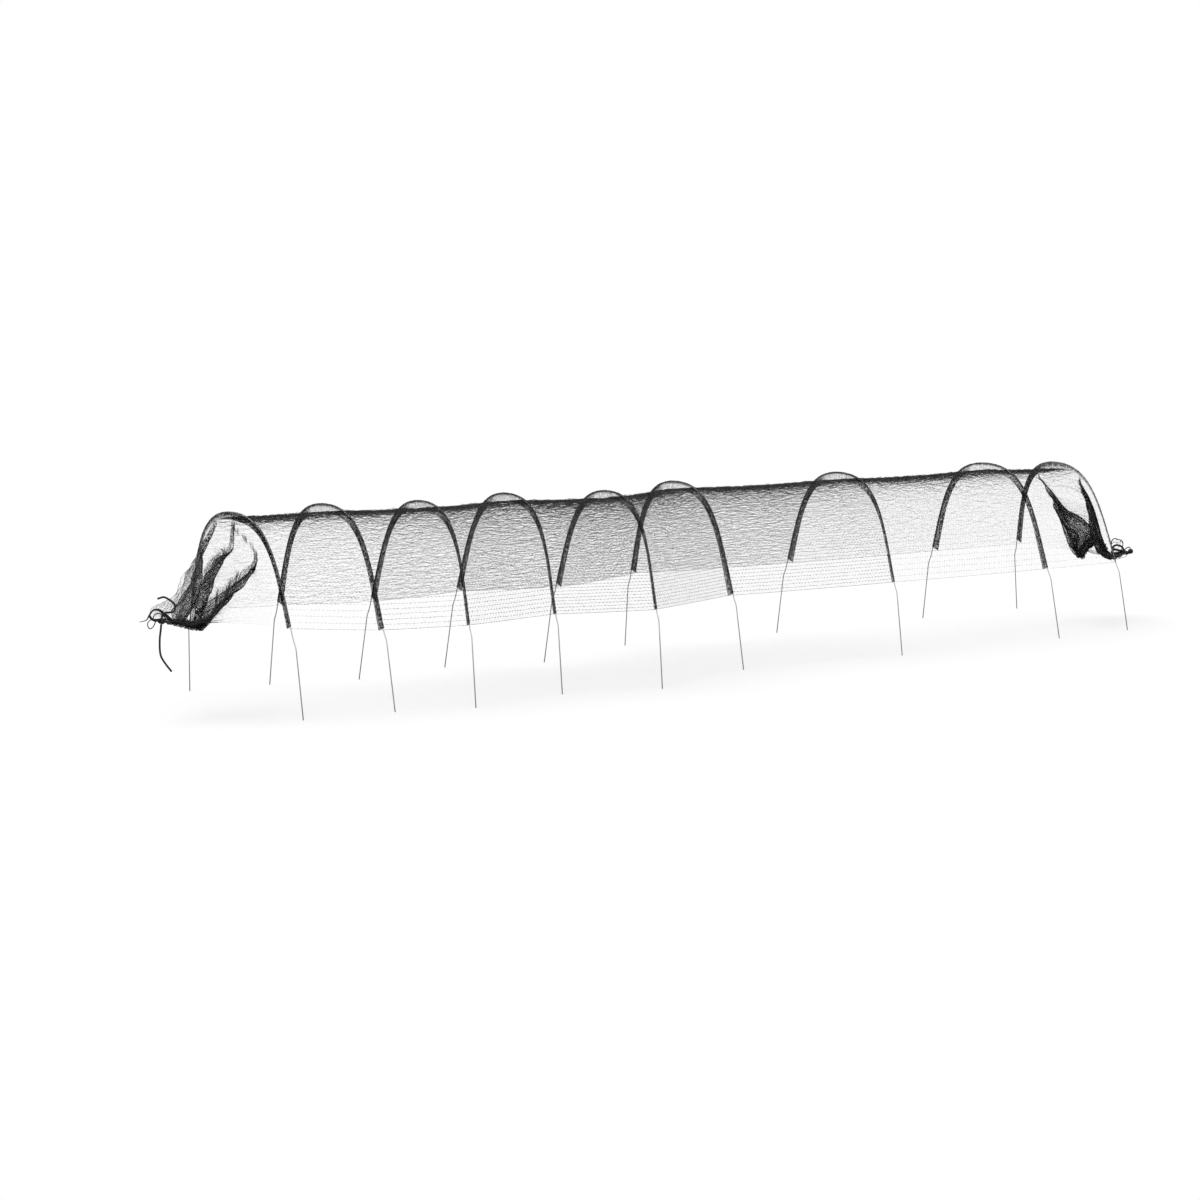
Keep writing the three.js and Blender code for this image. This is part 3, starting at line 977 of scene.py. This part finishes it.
def tuck_surface(number):
    place = places[number - 1]
    line, outwards, _ = covered_line(number)
    depths = tuck_depths(number, np.linspace(0, 1, len(line)))
    columns = []
    for point, out, depth in zip(line, outwards, depths):
        beside, away = tuck_section(depth)
        columns.append(in_world(place, point + np.outer(away, out), beside))
    return np.array(columns).transpose(1, 0, 2)


from_crown = np.abs(share - 0.5)
gather = np.interp(from_crown, (0.1, 0.2), (crown_gather, leg_gather))
for number in range(1, hoop_count + 1):
    grid = tuck_surface(number)
    around = float(np.linalg.norm(np.diff(grid, axis=0), axis=2).sum(axis=0).mean())
    thin = {1: share > 0.5, hoop_count: share < 0.5}.get(number, share > 1)
    packed = np.where(thin, crown_gather, gather)
    length = girth * float(packed.mean())
    dark = np.interp(seam_share, share, (packed - crown_gather) / (leg_gather - crown_gather))
    film = np.cos(np.linspace(-math.pi, math.pi, section_points))[:, None] < 0
    cover = np.where(film, film_cover + (band_cover - film_cover) * dark, 1.0)
    tuck = net_on(
        f"sleeve_{number}_knit",
        grid,
        around,
        length,
        packed,
        cover,
        **{
            "Yarn radius": tuck_yarn_radius,
            "Seed": tuck_seeds[0] + number * tuck_seeds[1],
            "Crinkle shift": 0.0008,
            "Crinkle height": 0.0006,
            "Crinkle length": 0.02,
            "Crinkle breadth": 0.03,
            "Edge radius": 0.0003,
        },
    )
    stand_in(tuck, f"sleeve_{number}", f"hoop_set_{number}")
    is_cloth(around, length)
print("tucks", hoop_count, "of", round(girth, 3), "m")

# %% [markdown]
# ## The gathered ends
# Past the first and the last hoop the net falls to a drawn-up hem, a narrow
# hairpin of cord that carries far more cloth than it has room for. The right
# hem also arches up in its middle. A hem's tip and turn are given from the
# foot of its hoop, and its other values say how the net comes down to it:
# where on the hem each part of the seam lands, how the arch rises from the
# turn to the tip, how far the cloth bags out in a pocket beside the hem, how
# dark the crammed cloth is there, how far the knot has slipped down, and how
# far towards the hem the net has come halfway down, in three directions.

# %% Drawn-up hems
hem_mouth_half_width = 0.007
hem_radius = 0.0053
hem_tilt = 0.014
hem_tilt_shares = (0, 0.3, 0.7, 1)
hem_line_steps = 24
bow_steps = 13
hems = {
    "left": {
        "hoop": 1,
        "side": -1,
        "tip": (-0.268, -0.093, 0.242),
        "turn": (-0.175, -0.063, 0.214),
        "half_width": 0.014,
        "landing": ((0, 0.6, 0.8, 1), (0, 0.6, 0.92, 1)),
        "arch": ((0, 1), (0, 0)),
        "pocket": 0.050,
        "dusk": ((0.8, 0.9), (1, 0)),
        "knot_drop": 0.0027,
        "bends": ((0.25, 0.3, 0.75, 0.75), (0.5, 0.5, 0.5, 0.5), (0.8, 0.75, 0.35, 0.3)),
    },
    "right": {
        "hoop": hoop_count,
        "side": 1,
        "tip": (0.212, -0.018, 0.195),
        "turn": (0.046, 0.005, 0.186),
        "half_width": 0.009,
        "landing": ((0, 1), (0, 1)),
        "arch": (
            (0, 0.06, 0.2, 0.36, 0.5, 0.6, 0.75, 1),
            (0, 0.02, 0.038, 0.043, 0.034, -0.004, -0.011, 0),
        ),
        "pocket": -0.022,
        "dusk": ((0.68, 0.74, 0.9, 0.98), (1, 0.4, 0.4, 0)),
        "knot_drop": 0.0,
        "bends": ((0.25, 0.25, 0.25, 0.25), (0.5, 0.5, 0.5, 0.5), (0.8, 0.8, 0.8, 0.8)),
    },
}


for end, hem in hems.items():
    foot = places[hem["hoop"] - 1]["foot"] * (1, 1, 0)
    tip, turn = foot + hem["tip"], foot + hem["turn"]
    along = unit(turn - tip)
    back = unit(np.array((-along[1], along[0], 0)))
    back = back * np.sign(back[1])
    t = np.linspace(0, 1, hem_line_steps)[:-1, None]
    widths = hem_mouth_half_width + (hem["half_width"] - hem_mouth_half_width) * t
    straight = tip + (turn - tip) * t
    angle = np.linspace(0, math.pi, bow_steps)[:, None]
    bow = turn + hem["half_width"] * (np.sin(angle) * along - np.cos(angle) * back)
    line = np.vstack([straight - back * widths, bow, (straight + back * widths)[::-1]])
    tilt = np.interp(np.linspace(0, 1, len(line)), hem_tilt_shares, (0, 0, hem_tilt, 0))
    inwards = (line - turn) @ -along / np.linalg.norm(tip - turn)
    arch = np.interp(inwards, *hem["arch"])
    line = line + np.outer(tilt + arch, (0, 0, 1))
    hem.update({"along": along, "back": back, "tip": tip, "turn": turn, "line": line})
    print("hem", end, round(line_length(line), 3), "m long")

# %% [markdown]
# The cloth at an end folds over itself. Each row of it runs round the end like
# a path that turns back now and then and comes forward again, and where it
# does, three layers lie together as one dark leaf. A leaf begins with how far
# it stands off, and how dark its upper layers and its under layer are. Then
# each line says how far down the end it is, and from which to which share of
# the way round the leaf lies there.

# %% Leaves of the folded ends
leaf_folds = {
    "left": (
        (
            0.006,
            (1.0, 0.8),
            (0.06, 0.488, 0.492), (0.08, 0.411, 0.416), (0.11, 0.309, 0.314), (0.15, 0.286, 0.296),
            (0.20, 0.277, 0.298), (0.30, 0.280, 0.335), (0.40, 0.286, 0.380), (0.50, 0.290, 0.450),
            (0.60, 0.300, 0.512), (0.70, 0.303, 0.575), (0.80, 0.290, 0.620), (1.00, 0.250, 0.500),
        ),
        (
            0.008,
            (1.0, 0.8),
            (0.04, 0.490, 0.495), (0.19, 0.489, 0.495), (0.22, 0.495, 0.520), (0.26, 0.506, 0.566),
            (0.31, 0.526, 0.625), (0.40, 0.558, 0.650), (0.50, 0.558, 0.662), (0.60, 0.562, 0.665),
            (0.80, 0.565, 0.665), (1.00, 0.520, 0.600),
        ),
        (
            0.012,
            (1.0, 0.8),
            (0.03, 0.620, 0.624), (0.08, 0.655, 0.663), (0.12, 0.690, 0.702), (0.16, 0.710, 0.727),
            (0.21, 0.710, 0.748), (0.28, 0.694, 0.768), (0.36, 0.676, 0.776), (0.48, 0.655, 0.778),
            (0.60, 0.645, 0.778), (0.80, 0.645, 0.795), (1.00, 0.650, 0.750),
        ),
    ),
    "right": (
        (
            0.012,
            (1.0, 0.5),
            (0.05, 0.368, 0.376), (0.08, 0.325, 0.352), (0.11, 0.275, 0.320), (0.15, 0.210, 0.298),
            (0.20, 0.150, 0.282), (0.28, 0.070, 0.258), (0.36, 0.025, 0.240), (0.48, 0.005, 0.230),
            (1.00, 0.050, 0.200),
        ),
        (
            0.006,
            (0.8, 0.0),
            (0.05, 0.658, 0.667), (0.09, 0.643, 0.653), (0.15, 0.622, 0.637), (0.18, 0.612, 0.636),
            (0.24, 0.562, 0.622), (0.30, 0.489, 0.620), (0.36, 0.423, 0.627), (0.41, 0.345, 0.640),
            (0.50, 0.270, 0.700), (0.60, 0.250, 0.720), (0.80, 0.260, 0.700), (1.00, 0.300, 0.550),
        ),
    ),
}
print("leaves", {end: len(leaves) for end, leaves in leaf_folds.items()})

# %% [markdown]
# A row is cut into even steps of cloth, so a leaf takes up more of them than
# the open net between. Its layers lie a few millimetres apart, and a few
# rounds of smoothing make soft bends of its turns.

# %% One folded row
end_columns = 401
fold_packing = 3.2
fold_onset = 0.05
fold_under = 0.005
fold_hem_cloth = 0.005
fold_passes = 3


def folded_row(u, leaves):
    """One row: for even steps of cloth, the share round, the lift and the fold."""
    way = [(0.0, 0.0, 0.0, 0.0)]
    for stand_off, (shade, under), *leaf in leaves:
        stations = np.array(leaf)
        opened = smooth_step(u, stations[0, 0] - fold_onset, stations[0, 0])
        low, high = (np.interp(u, stations[:, 0], stations[:, k]) for k in (1, 2))
        middle = (low + high) / 2
        low = middle + (low - middle) * opened
        high = middle + (high - middle) * opened
        entry = max(low, way[-1][0])
        spread = (high - low) * fold_packing
        start = way[-1][2] + max(high - way[-1][0], 0)
        way += [
            (entry, 0.0, start - max(high - entry, 0), 0.0),
            (high, stand_off * opened, start, shade * opened),
            (low, 0.0, start + spread, shade * opened),
            (high, -fold_under * opened, start + 2 * spread, under * opened),
            (high, -fold_under * opened, start + 2 * spread + fold_hem_cloth, 0.0),
        ]
    way.append((1.0, 0.0, way[-1][2] + 1 - way[-1][0], 0.0))
    way = np.array(way)
    cloth = np.linspace(0, way[-1, 2], end_columns)
    share, lift, inside = looked_up(cloth, way[:, 2], way[:, [0, 1, 3]]).T
    for _ in range(fold_passes):
        for line in (share, lift):
            line[1:-1] = (line[:-2] + 2 * line[1:-1] + line[2:]) / 4
    return share, lift, inside, way[-1, 2]


for end, leaves in leaf_folds.items():
    halfway = folded_row(0.5, leaves)[3]
    print("halfway down, a row of the", end, "end takes", round(halfway, 2), "times its width")

# %% [markdown]
# The surface of an end runs in a curve from the seam to the hem. On it lie the
# leaves, fine pleats that grow towards the hem, soft crumples in the free
# middle, and the pocket. Near the hem all the cloth is crammed and dark.

# %% Surface of a gathered end
end_rows = 61
end_slack = 2.6
seam_gap = 0.0007
bend_shares = (0, 0.6, 0.9, 1)
pale_cover = 0.07
pleat_count = 19
pleat_height = 0.004
pleat_rows = (0.3, 0.9)
pleat_calm_rows = (0.85, 1)
pleat_calm_share = 0.6
crumple_height = 0.014
crumple_count = 9
crumples_down = (0.6, 2.2)
crumples_round = (3, 11)
crumple_turns = 6.3
free_rows = (0, 0.25)
held_rows = (0.75, 1)
pocket_rows = (0.45, 0.85)
pocket_end_rows = (1, 0.92)
pocket_shares = (0.72, 0.9)
crammed_rows = (0.62, 0.86)


def end_surface(hem, leaves):
    """The grid of a gathered end, and how much of the light each point keeps."""
    starts, _ = seam_line(hem["hoop"], hem["side"] * seam_gap)
    starts = evenly(starts, end_columns)
    around = np.linspace(0, 1, end_columns)
    stops = evenly(hem["line"], end_columns)
    stops = looked_up(np.interp(around, *hem["landing"]), around, stops)
    reach = looked_up(around, bend_shares, np.array(hem["bends"]).T)
    bends = starts + (stops - starts) * reach
    forward = tangents(stops)
    arrive = bends - stops
    arrive = unit(arrive - forward * (arrive * forward).sum(axis=1, keepdims=True))
    stops = stops + arrive * hem_radius
    noise = np.random.default_rng(hem["hoop"])
    waves = [
        (
            noise.uniform(*crumples_down),
            noise.uniform(*crumples_round),
            *noise.uniform(0, crumple_turns, 2),
        )
        for _ in range(crumple_count)
    ]
    grid, cover = [], []
    for u in np.linspace(0, 1, end_rows):
        row = starts * (1 - u) ** 2 + 2 * bends * u * (1 - u) + stops * u * u
        fall = 2 * (1 - u) * (bends - starts) + 2 * u * (stops - bends)
        out = unit(np.cross(tangents(row), fall)) * hem["side"]
        share, lift, inside, cloth = folded_row(u, leaves)
        moved, ways = (looked_up(share, around, points) for points in (row, out))
        free = smooth_step(u, *free_rows) * (1 - smooth_step(u, *held_rows))
        pleats = np.sin(2 * math.pi * pleat_count * around) * smooth_step(u, *pleat_rows)
        crumples = sum(
            np.sin(2 * math.pi * (a * u + b * around) + c) * np.sin(math.pi * a * u + d)
            for a, b, c, d in waves
        ) / len(waves)
        height = lift + crumples * crumple_height * free
        calm = 1 - pleat_calm_share * smooth_step(u, *pleat_calm_rows)
        height = height + pleats * pleat_height * calm
        pocket = smooth_step(u, *pocket_rows) * smooth_step(u, *pocket_end_rows)
        pocket = hem["pocket"] * pocket * smooth_step(share, *pocket_shares)
        grid.append(moved + ways * height[:, None] - np.outer(pocket, hem["along"]))
        crammed = smooth_step(u, *crammed_rows) * np.interp(share, *hem["dusk"])
        dark = np.maximum(inside, crammed)
        pale = pale_cover * cloth / end_slack
        cover.append(pale + (1 - pale) * dark)
    return np.array(grid), np.array(cover)


end_surfaces = {end: end_surface(hem, leaf_folds[end]) for end, hem in hems.items()}
print("rows and columns", {end: grid.shape[:2] for end, (grid, _) in end_surfaces.items()})

# %% [markdown]
# The nets of the ends are knitted like the bays, but of a stronger yarn, since
# their threads show singly where the cloth lies open.

# %% Gathered nets
end_length = 0.34
for end, hem in hems.items():
    surface, cover = end_surfaces[end]
    funnel = net_on(
        f"end_net_{end}_knit",
        surface,
        end_length,
        girth * end_slack,
        1.0,
        cover,
        **{
            "Yarn radius": 0.0004,
            "Chain radius": 0.00055,
            "Seed": 60.0,
            "Crinkle shift": 0.002,
            "Crinkle height": 0.002,
            "Edge radius": 0.0004,
        },
    )
    stand_in(funnel, f"end_net_{end}", f"hoop_set_{hem['hoop']}")
    wire = f"hoop_{hem['hoop']}_wire"
    is_cloth(girth * end_slack, end_length)

# %% [markdown]
# ## The hem, its cord and its knot
# The hem is a channel sewn in the net's edge, crammed onto the drawcord until
# it ruffles. It is knitted round a closed tube, which swells in waves along
# its way, and each wave sways as it goes round.

# %% Ruffled hem
hem_ruffles = 26
hem_ruffle_depth = 0.004
hem_ruffle_twist = 40
hem_gather = 4.0
hem_inner_radius = 0.0042
hem_mean_radius = 0.0052
hem_sides = 16
hem_steps = 301
hem_courses = 9
hem_chain_spacing = 0.0034


def ruffled_hem(end, hem):
    line = evenly(hem["line"], hem_steps)
    run = np.linspace(0, 1, len(line))[:, None]
    rings = rings_along(line, hem_inner_radius, hem_sides)
    turns = np.linspace(0, 2 * math.pi, hem_sides, endpoint=False)
    sway = 2 * np.sin(turns + run * hem_ruffle_twist)
    waves = np.sin(2 * math.pi * hem_ruffles * run + sway)
    swell = 1 + (waves + 1) * hem_ruffle_depth / hem_inner_radius / 2
    rings = line[:, None] + (rings - line[:, None]) * swell[..., None]
    rings = np.concatenate([rings, rings[:, :1]], axis=1).transpose(1, 0, 2)
    around = 2 * math.pi * hem_mean_radius
    length = line_length(line) * hem_gather
    ruffle = net_on(
        f"end_hem_{end}_knit",
        rings,
        around,
        length,
        1.0,
        **{
            "Courses": hem_courses,
            "Chains": round(length / hem_chain_spacing),
            "Yarn radius": 0.00022,
            "Chain radius": 0.0003,
            "Seed": 5.0,
            "Crinkle shift": 0.0008,
            "Crinkle height": 0.0005,
            "Crinkle length": 0.01,
            "Crinkle breadth": 0.01,
            "Edge radius": 0.0003,
        },
    )
    stand_in(ruffle, f"end_hem_{end}", f"hoop_set_{hem['hoop']}")
    is_cloth(around, length)


print("a hem has", hem_ruffles, "ruffles")

# %% [markdown]
# The cord runs from the knot through the channel and back, side by side with
# itself where it comes out. The knot is three turns of the cord round its own
# two ends, drawn tight.

# %% Drawcord and knot
knot_length = 0.017
knot_reach = 0.018
knot_radius = 0.0051
knot_turns = 3
knot_turn_steps = 32
cord_pair_gap = 0.0006
drawcord_points = 40


def drawn_cord(hem, face):
    """The cord's line, in and out of the face of its knot."""
    apart = hem["back"] * (cord_diameter + cord_pair_gap) / 2
    lead = hem["along"] * cord_diameter
    inner = face - hem["along"] * (knot_length - cord_radius)
    route = [
        inner - apart / 4,
        face - apart / 2,
        face - apart + lead,
        *evenly(hem["line"], drawcord_points),
        face + apart + lead,
        face + apart / 2,
        inner + apart / 4,
    ]
    return smooth_line(route, cord_radius)


def knot_coil(hem, face):
    angle = np.linspace(0, 2 * math.pi * knot_turns, knot_turn_steps * knot_turns)
    up = np.cross(hem["along"], hem["back"])
    start = face - hem["along"] * cord_radius
    rise = (knot_length - cord_diameter) / angle[-1]
    return (
        start
        - np.outer(angle * rise, hem["along"])
        + knot_radius * (np.outer(np.cos(angle), hem["back"]) + np.outer(np.sin(angle), up))
    )


for end, hem in hems.items():
    ruffled_hem(end, hem)
    face = hem["tip"] - hem["along"] * knot_reach - (0, 0, hem["knot_drop"])
    drawn = drawn_cord(hem, face)
    for node, name, line in (
        (f"drawcord_{end}", f"drawcord_{end}_braid", drawn),
        (f"drawcord_{end}_knot", f"drawcord_{end}_wrap", knot_coil(hem, face)),
    ):
        piece = tube(name, line, cord_radius, cord_sides, cord_finish)
        stand_in(piece, node, f"hoop_set_{hem['hoop']}")
    print("drawcord", end, round(line_length(drawn), 3), "m in its hem")

# %% [markdown]
# ## Loose loops and a wisp
# A gathered edge never ends neatly. At the left end the net runs out past the
# knot into a thin twisted wisp with a few loose loops, and at the right end
# the surplus of the channel curls up in small loops beside the knot. Each
# strand has its radius at either end, and its points in millimetres.

# %% Loops and wisp
strand_step = 0.0015
strand_sides = 8


def strand_line(hem, route):
    """A smooth line, from millimetres inwards from the tip, upwards and back."""
    up = np.cross(hem["along"], hem["back"])
    up = up * np.sign(up[2])
    ways = np.array([hem["along"], up, hem["back"]])
    return smooth_line(hem["tip"] + np.array(route) / 1000 @ ways, strand_step)


strands = {
    "left": {
        "wisp": (
            (0.0045, 0.0007),
            (
                (8, 6, 2), (-15, 16, 4), (-40, 22, 4), (-60, 17, 3), (-71, 3, 2), (-79, -10, 1),
                (-103, -19, 0),
            ),
        ),
        "neck": (
            (0.0046, 0.0028),
            ((-20, 0, 0), (-34, -2, 2), (-50, -5, 2), (-62, -3, 2), (-71, 3, 2)),
        ),
        "loop_1": (
            (0.0014, 0.0011),
            (
                (-46, -6, 0), (-51, -19, 0), (-60, -28, 0), (-70, -25, 0), (-72, -15, 1),
                (-64, -7, 1), (-56, -3, 2),
            ),
        ),
        "loop_2": (
            (0.0016, 0.0013),
            ((-14, 2, -3), (-30, 11, -6), (-46, 13, -6), (-58, 7, -3), (-56, -3, 2)),
        ),
    },
    "right": {
        "loop_1": (
            (0.0019, 0.0013),
            (
                (41, 0, 0), (44, 20, 4), (41, 38, 6), (31, 46, 4), (20, 42, 0), (9, 38, -3),
                (5, 26, -4), (12, 2, 0),
            ),
        ),
        "loop_2": (
            (0.0034, 0.0030),
            ((39, 0, 6), (34, 20, 8), (20, 24, 6), (3, 17, 4), (-5, 4, 2), (-13, -6, 1), (-19, -4, 0)),
        ),
        "loop_3": (
            (0.0018, 0.0015),
            ((7, 0, -3), (-3, 12, -8), (-13, 15, -8), (-22, 12, -5), (-25, 2, -2)),
        ),
        "ruffle": (
            (0.0042, 0.0028),
            ((46, 4, 0), (38, 12, 3), (27, 11, 5), (14, 7, 3), (0, 5, 0), (-14, 0, 0)),
        ),
        "strand_1": (
            (0.0009, 0.0006),
            ((44, 30, 4), (33, 36, 2), (22, 31, 0), (13, 36, -3), (5, 28, -4)),
        ),
        "strand_2": (
            (0.0007, 0.0007),
            ((33, 10, 4), (30, 24, 2), (24, 33, 0), (26, 44, 2)),
        ),
        "strand_3": (
            (0.0008, 0.0006),
            ((22, 10, 4), (14, 22, 2), (13, 36, -2), (16, 42, -2)),
        ),
        "strand_4": (
            (0.0009, 0.0007),
            ((42, -2, 0), (37, -15, 0), (24, -18, -2), (6, -15, -2), (-8, -14, 0), (-18, -4, 0)),
        ),
    },
}
for end, lines in strands.items():
    for label, (radii, route) in lines.items():
        line = strand_line(hems[end], route)
        radius = np.linspace(*radii, len(line))
        strand = tube(f"end_hem_{end}_{label}", line, radius, strand_sides, cord_finish)
        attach(strand, f"hoop_set_{hems[end]['hoop']}")
print("strands", sum(len(lines) for lines in strands.values()))

# %% [markdown]
# ## The floor and the light
# The tunnel stands on a white studio floor under a broad soft light from above,
# which leaves only a pale shadow under the net. Near the object the floor takes
# that shadow, and further out it fades into the plain white surround.

# %% Floor and light
shadow_reach = 2.2
fade_length = 2.0
glow_share = 0.6
sky_strength = 0.6


def floor_finish():
    material, tree = new_material("studio_floor")
    place = add_node(tree, "ShaderNodeTexCoord", output=3)
    ray = add_node(tree, "ShaderNodeLightPath")
    matt = add_node(tree, "ShaderNodeBsdfDiffuse", None, {"Color": (0.9, 0.9, 0.9, 1)})
    glow = add_node(tree, "ShaderNodeEmission", None, {"Color": (1, 1, 1, 1), "Strength": ray})
    reach = place.node("ShaderNodeVectorMath", {"operation": "LENGTH"}, {"Vector": place}, 1)
    far = ((reach - shadow_reach) / fade_length).clamp()
    plain = (glow_share + far * (1 - glow_share)).clamp()
    mixed = place.node("ShaderNodeMixShader", None, {0: plain, 1: matt, 2: glow})
    add_node(tree, "ShaderNodeOutputMaterial", None, {"Surface": mixed})
    return material


floor_half = 40.0
floor_corners = [
    (-floor_half, -floor_half, 0),
    (floor_half, -floor_half, 0),
    (floor_half, floor_half, 0),
    (-floor_half, floor_half, 0),
]
floor = new_object("studio_floor", floor_corners, [(0, 1, 2, 3)], floor_finish())

world = bpy.data.worlds.new("studio_world")
world.use_nodes = True
world.node_tree.nodes.clear()
ray = add_node(world.node_tree, "ShaderNodeLightPath")
seen = ray.math("MAXIMUM", Value(world.node_tree, ray.socket.node.outputs["Is Glossy Ray"]))
sky = add_node(
    world.node_tree,
    "ShaderNodeBackground",
    None,
    {"Color": (1, 1, 1, 1), "Strength": sky_strength + seen * (1 - sky_strength)},
)
add_node(world.node_tree, "ShaderNodeOutputWorld", None, {"Surface": sky})
bpy.context.scene.world = world

sun_data = bpy.data.lights.new("soft_top_light", "SUN")
sun_data.energy = 2.0
sun_data.angle = math.radians(50)
sun = bpy.data.objects.new("soft_top_light", sun_data)
sun.rotation_euler = (math.radians(-24), math.radians(-8), 0)
bpy.context.scene.collection.objects.link(sun)
bpy.context.scene.view_settings.view_transform = "Standard"
print("lit by", sun.name)

# %% [markdown]
# ## Last steps
# The triangles of the new pieces are counted, and the free cords are put on
# the first hoop's body.

# %% Finish
triangles = 0
for piece in bpy.data.objects:
    if piece.type == "MESH" and piece.name not in frame["nodes"]:
        piece.data.calc_loop_triangles()
        triangles += len(piece.data.loop_triangles)
print("triangles in all", triangles)

for piece, line in free_cords:
    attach(piece, "hoop_set_1")
